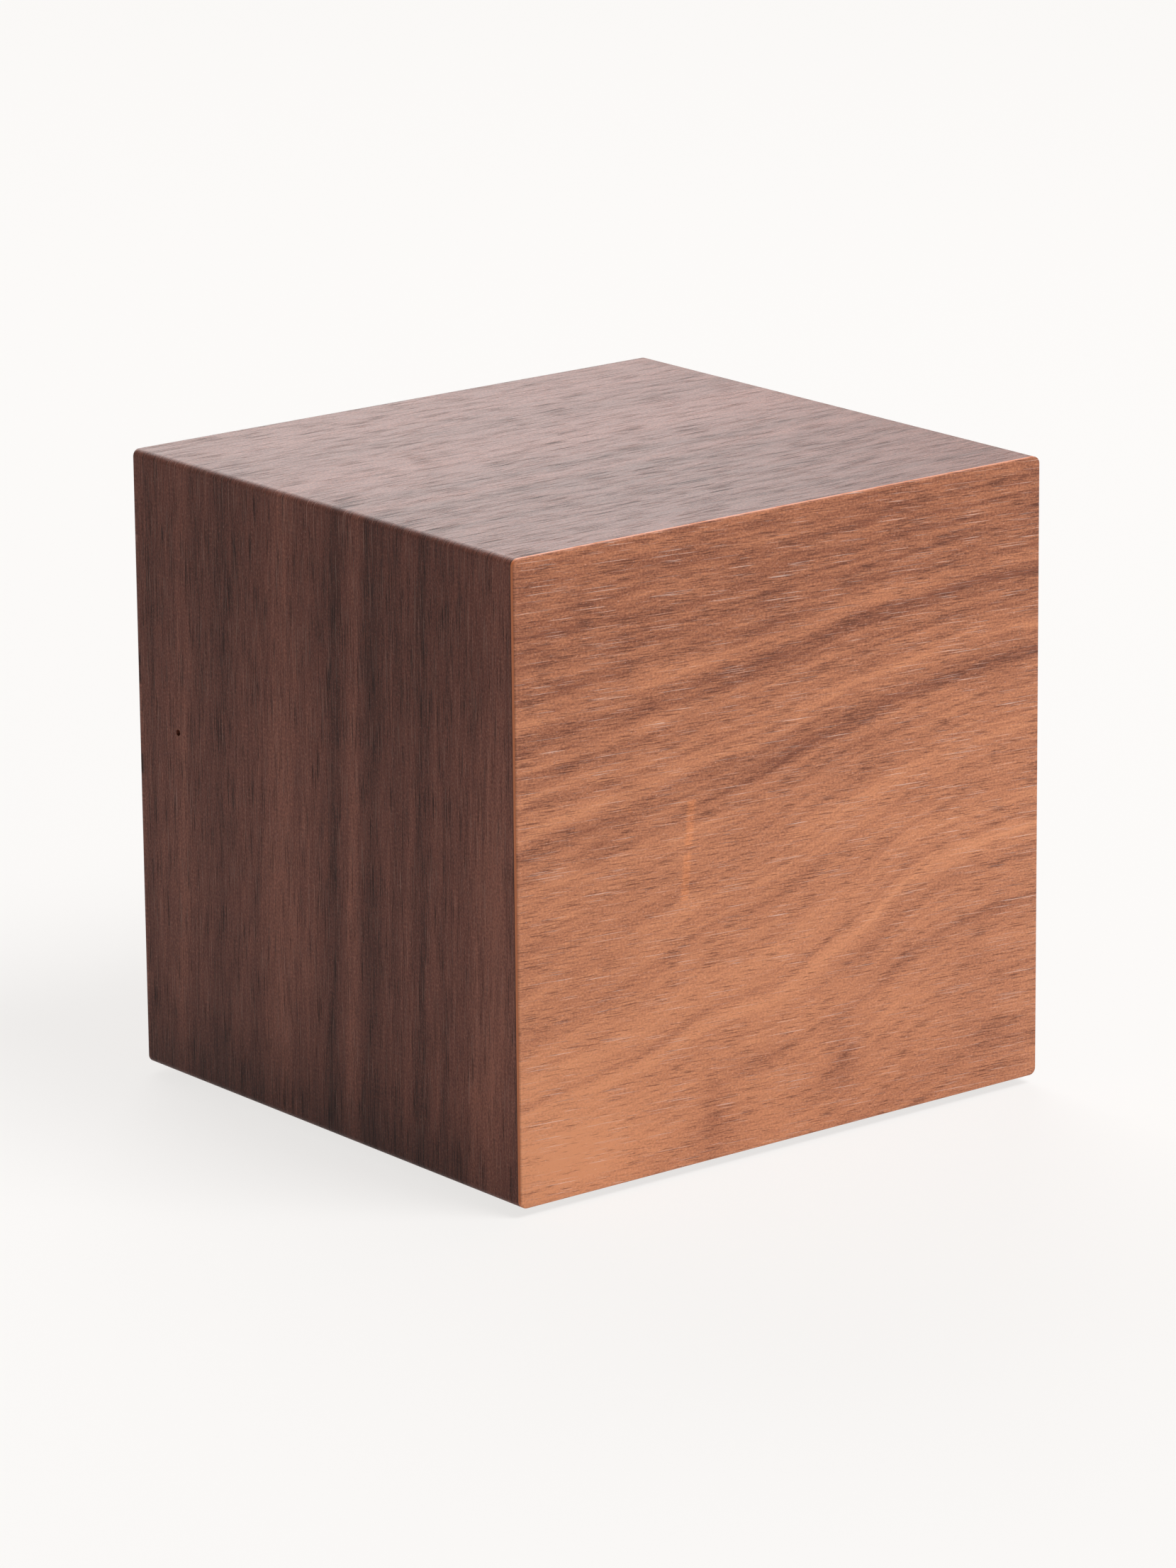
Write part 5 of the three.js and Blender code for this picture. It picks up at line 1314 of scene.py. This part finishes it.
# %% Feet
FOOT_EASE = 0.25 * MM
FOOT_TOP_STEPS = 3
FEET = ("foot_1", "foot_2", "foot_3", "foot_4")
feet = []
for node in FEET:
    low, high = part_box(node)
    radius = (high.x - low.x) / 2
    top = high.z - low.z - FOOT_EASE / 2
    profile = arc(radius - FOOT_EASE, FOOT_EASE, FOOT_EASE, -90, 0)
    profile += arc(radius - FOOT_EASE / 2, top, FOOT_EASE / 2, 0, 90, FOOT_TOP_STEPS)
    middle = middle_of(node)
    feet.append(turned(profile, Matrix.Translation((middle.x, middle.y, low.z))))
new_piece("feet", gathered(feet), "foot_rubber", "cabinet", *FEET)

# %% [markdown]
# ## Battery contacts
# Each contact is a strip of sprung metal: a plate with round corners, a pressed dimple for a button end, a
# wound cone for a minus end, and a solder tag where a lead leaves. The cone is a wire on a spiral, so
# Geometry Nodes sweep a circle along it. The threads of the screws are wound the same way.

# %% Wound cone
cone_sizes = {
    "Turns": 3.5, "Base radius": 3.4 * MM, "Tip radius": 1.8 * MM, "Rise": 4.66 * MM, "Wire": 0.3 * MM,
    "Steps": 28, "Wire sides": 12,
}


def swept(tree, path, profile):
    """A profile carried along a path, with closed ends."""
    return tree.form("CurveToMesh", {"Curve": path, "Profile Curve": profile, "Fill Caps": True})


def wound(tree, turns, start, end, rise, steps, sides, wire):
    """A wire of a given radius on a spiral that rises from one radius to another."""
    spiral = tree.form("CurveSpiral", {
        "Resolution": steps, "Rotations": turns, "Start Radius": start, "End Radius": end, "Height": rise,
    })
    return swept(tree, spiral, tree.form("CurvePrimitiveCircle", {"Resolution": sides, "Radius": wire}))


cone, size, shape = new_form("wound_cone", cone_sizes)
cone.feed(shape, wound(
    cone, size["Turns"], size["Base radius"], size["Tip radius"], size["Rise"], size["Steps"],
    size["Wire sides"], size["Wire"],
))
cone_mesh = grown(cone, cone_sizes, "contact_metal")
print("cone", len(cone_mesh.polygons), "faces")

# %% Strips and dimples
STRIP = 0.3 * MM
STRIP_EASE = 0.06 * MM
STRIP_CORNER = 0.8 * MM
CORNER_STEPS = 4
TAG_WIDTH = 2.4 * MM
DIMPLE_RADIUS = 2.2 * MM
DIMPLE_RISE = 1.2 * MM
DIMPLE_STEPS = 8
DIMPLE_SPREAD = 0.92
DIMPLE_SIDES = 40


def eased_plate(place, width, height, corner, x=0.0, y=0.0):
    """A strip in the XY plane of its place, from z = 0 up, with eased edges."""
    levels = ((STRIP_EASE, 0), (0, STRIP_EASE), (0, STRIP - STRIP_EASE), (STRIP_EASE, STRIP))
    rings = []
    for inset, z in levels:
        outline = rounded_outline(width - 2 * inset, height - 2 * inset, corner - inset, CORNER_STEPS)
        rings.append([place @ Vector((x + u, y + v, z)) for u, v in outline])
    return lofted(rings)


def dimple(place, x):
    """A pressed dome that stands on a strip."""
    profile = [(DIMPLE_RADIUS, STRIP / 2), (DIMPLE_RADIUS, STRIP)]
    for step in range(1, DIMPLE_STEPS + 1):
        share = step / DIMPLE_STEPS
        radius = DIMPLE_RADIUS * (1 - DIMPLE_SPREAD * share)
        profile.append((radius, STRIP + DIMPLE_RISE * math.sin(share * QUARTER_TURN)))
    return turned(profile, place @ Matrix.Translation((x, 0, 0)), DIMPLE_SIDES)


print("strip", round(STRIP / MM, 1), "mm thick")

# %% Four contacts
CONE_SEAT = 0.6 * MM


def contact(node, place, cones=(), dimples=(), tag=None):
    """A strip with cones, dimples and a solder tag at places along it, as a piece."""
    low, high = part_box(node)
    rise = 2 * (place.translation.z - low.z)
    across = place.inverted() @ middle_of(node)
    meshes = [eased_plate(place, high.y - low.y, rise, STRIP_CORNER, x=across.x)]
    for x in cones:
        spring = cone_mesh.copy()
        spring.transform(place @ Matrix.Translation((x, 0, CONE_SEAT)))
        meshes.append(spring)
    meshes += [dimple(place, x) for x in dimples]
    if tag is not None:
        top = high.z - place.translation.z
        meshes.append(eased_plate(place, TAG_WIDTH, top, STRIP_EASE * 2, x=tag, y=top / 2))
    new_piece(node + "_strip", gathered(meshes), "contact_metal", "cabinet", node)


row = middle_of("battery_3").y
cell_z = middle_of("battery_1").z
left_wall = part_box("negative_contact")[0].x
left_place = Matrix(((0, 0, 1, left_wall), (1, 0, 0, 0), (0, 1, 0, cell_z), (0, 0, 0, 1)))
right_place = Matrix(((0, 0, -1, -left_wall), (-1, 0, 0, 0), (0, 1, 0, cell_z), (0, 0, 0, 1)))
contact("negative_contact", left_place, cones=[-row], tag=-row)
contact("left_bridge_contact", left_place, cones=[row], dimples=[0])
contact("right_bridge_contact", right_place, cones=[0], dimples=[row])
contact("positive_contact", right_place, dimples=[-row], tag=-row)

# %% [markdown]
# ## Screws
# All ten screws are one idea in three sizes: a turned blank, a cross cut into its head, and a thread wound
# round its shank. The blank is made first and goes into the tree, which cuts, winds, and sets the screw on a
# grid of places.

# %% One screw, set on a grid
THREAD_SIDES = 4
THREAD_STEPS = 20
screw_inputs = {
    "Columns": 2, "Rows": 2, "Column gap": 1.0, "Row gap": 1.0, "Drive length": 1.0, "Drive width": 1.0,
    "Drive floor": 1.0, "Shank": 1.0, "Pitch": 1.0, "Thread": 1.0, "Thread start": 1.0, "Thread end": 1.0,
    "Turn": 1.0, "Seat X": 0.0, "Seat Y": 0.0, "Seat Z": 0.0,
}


def grid_of(tree, width, height, columns, rows):
    """Points in a grid in X and Y."""
    inputs = {"Size X": width, "Size Y": height, "Vertices X": columns, "Vertices Y": rows}
    return tree.form("MeshGrid", inputs)


screw, size, shape = new_form("screw_set", screw_inputs)
cutter_size = screw.vector(size["Drive length"], size["Drive width"], 2 * OVERRUN)
cutter = moved(screw, screw.form("MeshCube", {"Size": cutter_size}), z=size["Drive floor"] + OVERRUN)
crossed = moved(screw, cutter, turn=(0.0, 0.0, QUARTER_TURN))
rise = size["Thread end"] - size["Thread start"]
thread = wound(
    screw, rise / size["Pitch"], size["Shank"], size["Shank"], rise, THREAD_STEPS, THREAD_SIDES,
    size["Thread"],
)
thread = moved(screw, thread, z=size["Thread start"])
points = grid_of(screw, size["Column gap"], size["Row gap"], size["Columns"], size["Rows"])
rows = placed(screw, points, joined(screw, thread, carved(screw, size["Start"], cutter, crossed)))
turn = screw.value("FunctionNodeEulerToRotation", {0: screw.vector(size["Turn"], 0.0)})
screw.feed(shape, moved(screw, rows, x=size["Seat X"], y=size["Seat Y"], z=size["Seat Z"], turn=turn))
print("screw tree of", len(screw.tree.nodes), "nodes")

# %% Screw blanks
PAN_HEAD = 2.3 * MM
PAN_SHANK = 1.1 * MM
PAN_CROWN = 1.6 * MM
PAN_EASE = 0.1 * MM
PAN_STEPS = 3
PAN_SIDE_SHARE = 0.3
PAN_ANGLES = (0.3, 0.6, 0.9, 1.15, 1.35)
SUNK_HEAD = 1.7 * MM
SUNK_SHANK = 0.9 * MM
SUNK_RISE = 0.9 * MM
SUNK_EASE = 0.05 * MM
SUNK_EDGE = 0.06 * MM
POINT_SHARE = 0.25
CENTRE_SHARE = 0.05
SCREW_SIDES = 40


def pointed(shank, length):
    """The point of a screw, and the start of its shank."""
    return [(shank * POINT_SHARE, -length), (shank, shank - length)]


def pan_blank(length):
    """A screw with a domed head, its seat at z = 0 and its point down."""
    profile = pointed(PAN_SHANK, length) + [(PAN_SHANK, 0)]
    profile += arc(PAN_HEAD - PAN_EASE, PAN_EASE, PAN_EASE, -90, 0, PAN_STEPS)
    for angle in PAN_ANGLES:
        rise = PAN_SIDE_SHARE + (1 - PAN_SIDE_SHARE) * math.sin(angle)
        profile.append((PAN_HEAD * math.cos(angle), PAN_CROWN * rise))
    profile.append((PAN_HEAD * CENTRE_SHARE, PAN_CROWN))
    return turned(profile, Matrix.Identity(4), SCREW_SIDES)


def sunk_blank(length):
    """A countersunk screw, its flat top at z = 0 and its point down."""
    profile = pointed(SUNK_SHANK, length) + [(SUNK_SHANK, -SUNK_RISE)]
    profile += [(SUNK_HEAD - SUNK_EASE, -2 * SUNK_EDGE), (SUNK_HEAD, -SUNK_EDGE), (SUNK_HEAD - SUNK_EASE, 0)]
    profile.append((SUNK_HEAD * CENTRE_SHARE, 0))
    return turned(profile, Matrix.Identity(4), SCREW_SIDES)


print("blanks of", SCREW_SIDES, "sides")

# %% Three sizes of screw
DRIVE_WIDTH = 0.5 * MM
DRIVE_DEPTH = 0.6 * MM
PAN_THREAD = {"Shank": PAN_SHANK, "Pitch": 0.8 * MM, "Thread": 0.12 * MM, "Thread end": -0.3 * MM}
SUNK_THREAD = {"Shank": SUNK_SHANK, "Pitch": 0.6 * MM, "Thread": 0.1 * MM, "Thread end": -SUNK_RISE}


def screw_set(name, nodes, blank, axis, turn, seat, values):
    """Screws that stand for packed ones, in rows along X. The seat is the plane of z = 0 of the blank."""
    centres = [middle_of(node) for node in nodes]
    middle = sum(centres, Vector()) / len(centres)
    middle[axis] = seat
    spread = [max(c[i] for c in centres) - min(c[i] for c in centres) for i in range(3)]
    inputs = {
        "Columns": 2, "Rows": len(nodes) // 2, "Column gap": spread[0], "Row gap": spread[3 - axis],
        "Drive width": DRIVE_WIDTH, "Turn": turn, "Seat X": middle.x, "Seat Y": middle.y, "Seat Z": middle.z,
        **values,
    }
    new_piece(name, grown(screw, inputs, "screw_steel", blank), "screw_steel", "cabinet", *nodes)


def pan_set(name, nodes, way):
    """Pan-headed screws along Y, whose heads point forwards (-1) or backwards (1)."""
    low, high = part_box(nodes[0])
    length = high.y - low.y - PAN_CROWN
    seat = high.y - PAN_CROWN if way > 0 else low.y + PAN_CROWN
    values = {"Drive length": PAN_HEAD, "Drive floor": PAN_CROWN - DRIVE_DEPTH, **PAN_THREAD}
    values["Thread start"] = PAN_SHANK - length
    screw_set(name, nodes, pan_blank(length), 1, -way * QUARTER_TURN, seat, values)


pan_set("display_screws", [f"display_screw_{i}" for i in (1, 2, 3, 4)], 1)
pan_set("key_screws", ["key_screw_1", "key_screw_2"], -1)
low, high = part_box("tray_screw_1")
length = high.z - low.z
values = {"Drive length": SUNK_HEAD, "Drive floor": -DRIVE_DEPTH, **SUNK_THREAD}
values["Thread start"] = SUNK_SHANK - length
nodes = [f"tray_screw_{i}" for i in (1, 2, 3, 4)]
screw_set("tray_screws", nodes, sunk_blank(length), 2, math.pi, low.z, values)

# %% [markdown]
# ## Ribbon cable and solder
# The cable is eight round cores side by side. The row of circles is the profile, and one curve carries it
# from the display board back to the key board. Solder joints repeat on the grid of the display's pins.

# %% Ribbon cable
low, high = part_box("ribbon_cable")
ribbon_sizes = {
    "Cores": 8, "Core pitch": 1.27 * MM, "Core radius": 0.6 * MM, "Steps": 32, "Core sides": 14,
    "X": middle_of("ribbon_cable").x, "Front": low.y, "Back": high.y,
    "Front rise": middle_of("display_header").z, "Back rise": middle_of("key_header").z,
    "Ease": (high.y - low.y) / 2,
}
ribbon, size, shape = new_form("ribbon_cable", ribbon_sizes)
front = (size["Front"], size["Front"] + size["Ease"])
back = (size["Back"], size["Back"] - size["Ease"])
start, start_pull = [ribbon.vector(size["X"], y, size["Front rise"]) for y in front]
end, end_pull = [ribbon.vector(size["X"], y, size["Back rise"]) for y in back]
route = ribbon.form("CurvePrimitiveBezierSegment", {
    "Resolution": size["Steps"], "Start": start, "Start Handle": start_pull, "End Handle": end_pull,
    "End": end,
}, mode="POSITION")
row_start = (size["Cores"] - 1.0) * -0.5 * size["Core pitch"]
row_points = row_of(ribbon, size["Cores"], row_start, size["Core pitch"])
inputs = {"Resolution": size["Core sides"], "Radius": size["Core radius"]}
circle = ribbon.form("CurvePrimitiveCircle", inputs)
profile = ribbon.form("RealizeInstances", {"Geometry": placed(ribbon, row_points, circle)})
upright = ribbon.form("SetCurveNormal", {"Curve": route}, mode="Z_UP")
ribbon.feed(shape, swept(ribbon, upright, profile))
ribbon_mesh = grown(ribbon, ribbon_sizes, "grey_ribbon")
new_piece("ribbon_cores", ribbon_mesh, "grey_ribbon", "cabinet", "ribbon_cable")

# %% Solder joints
JOINT_SIDES = 20
solder_sizes = {
    "Pins": 6, "Pin pitch": 2.54 * MM, "Row gap": 15.24 * MM, "Foot": 0.85 * MM, "Neck": 0.36 * MM,
    "Rise": 0.8 * MM, "Board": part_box("display_board")[1].y, "Middle": middle_of("display_board").z,
}
solder, size, shape = new_form("solder_joints", solder_sizes)
points = grid_of(solder, (size["Pins"] - 1.0) * size["Pin pitch"], size["Row gap"], size["Pins"], 2)
joint = solder.form("MeshCone", {
    "Vertices": JOINT_SIDES, "Side Segments": 1, "Radius Top": size["Neck"], "Radius Bottom": size["Foot"],
    "Depth": size["Rise"],
})
rows = placed(solder, points, joint)
solder.feed(shape, moved(solder, rows, y=size["Board"], z=size["Middle"], turn=(-QUARTER_TURN, 0.0, 0.0)))
new_piece("solder_joints", grown(solder, solder_sizes, "tinned_metal"), "tinned_metal", "cabinet")

# %% [markdown]
# ## Everything else: eased copies
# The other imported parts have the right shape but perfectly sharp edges, which no moulded, pressed or sawn
# part has. A copy of each is merged, its flat triangles are joined into whole faces, and its outer edges get
# a small rounding that catches the light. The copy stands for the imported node.

# %% Eased copies
EASE_STEPS = 2
FLAT_ANGLE = math.radians(0.5)
BODIES = {
    "set_plunger": "set_key", "up_plunger": "up_key", "down_plunger": "down_key", "battery_door": "door",
}
EASES = {
    0.2: ["battery_tray", "battery_door"],
    0.15: ["top_board", "bottom_board", "left_board", "right_board", "front_board", "back_board", "buzzer"],
    0.1: [
        "display_housing", "key_post_1", "key_post_2", "display_header", "key_header", "microphone",
        "clock_crystal", "display_board", "key_board", "set_switch", "up_switch", "down_switch", "clock_chip",
    ],
    0.06: [
        "segment_lenses", "display_substrate", "set_plunger", "up_plunger", "down_plunger",
        "power_socket_shell", "power_socket_insulator", "black_battery_lead", "red_battery_lead",
    ],
}


def eased_copy(node, width):
    """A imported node's mesh with rounded outer edges."""
    form = bmesh.new()
    form.from_mesh(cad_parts[node].data)
    bmesh.ops.remove_doubles(form, verts=form.verts[:], dist=MERGE)
    bmesh.ops.dissolve_limit(form, angle_limit=FLAT_ANGLE, verts=form.verts[:], edges=form.edges[:])
    sharp = [
        edge for edge in form.edges
        if edge.is_manifold and edge.is_convex and edge.calc_face_angle(0) > SMOOTH_ANGLE
    ]
    bmesh.ops.bevel(
        form, geom=sharp, offset=width, offset_type="OFFSET", segments=EASE_STEPS, profile=0.5,
        affect="EDGES", clamp_overlap=True, loop_slide=True,
    )
    return meshed(form)


for width, nodes in EASES.items():
    for node in nodes:
        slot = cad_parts[node].data.materials[0].name
        new_piece(node + "_eased", eased_copy(node, width * MM), slot, BODIES.get(node, "cabinet"), node)

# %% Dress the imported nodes
dressed = 0
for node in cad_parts.values():
    for holder in node.material_slots:
        if holder.material.name in finishes:
            holder.material = finishes[holder.material.name]
            dressed += 1
print(dressed, "packed nodes dressed")
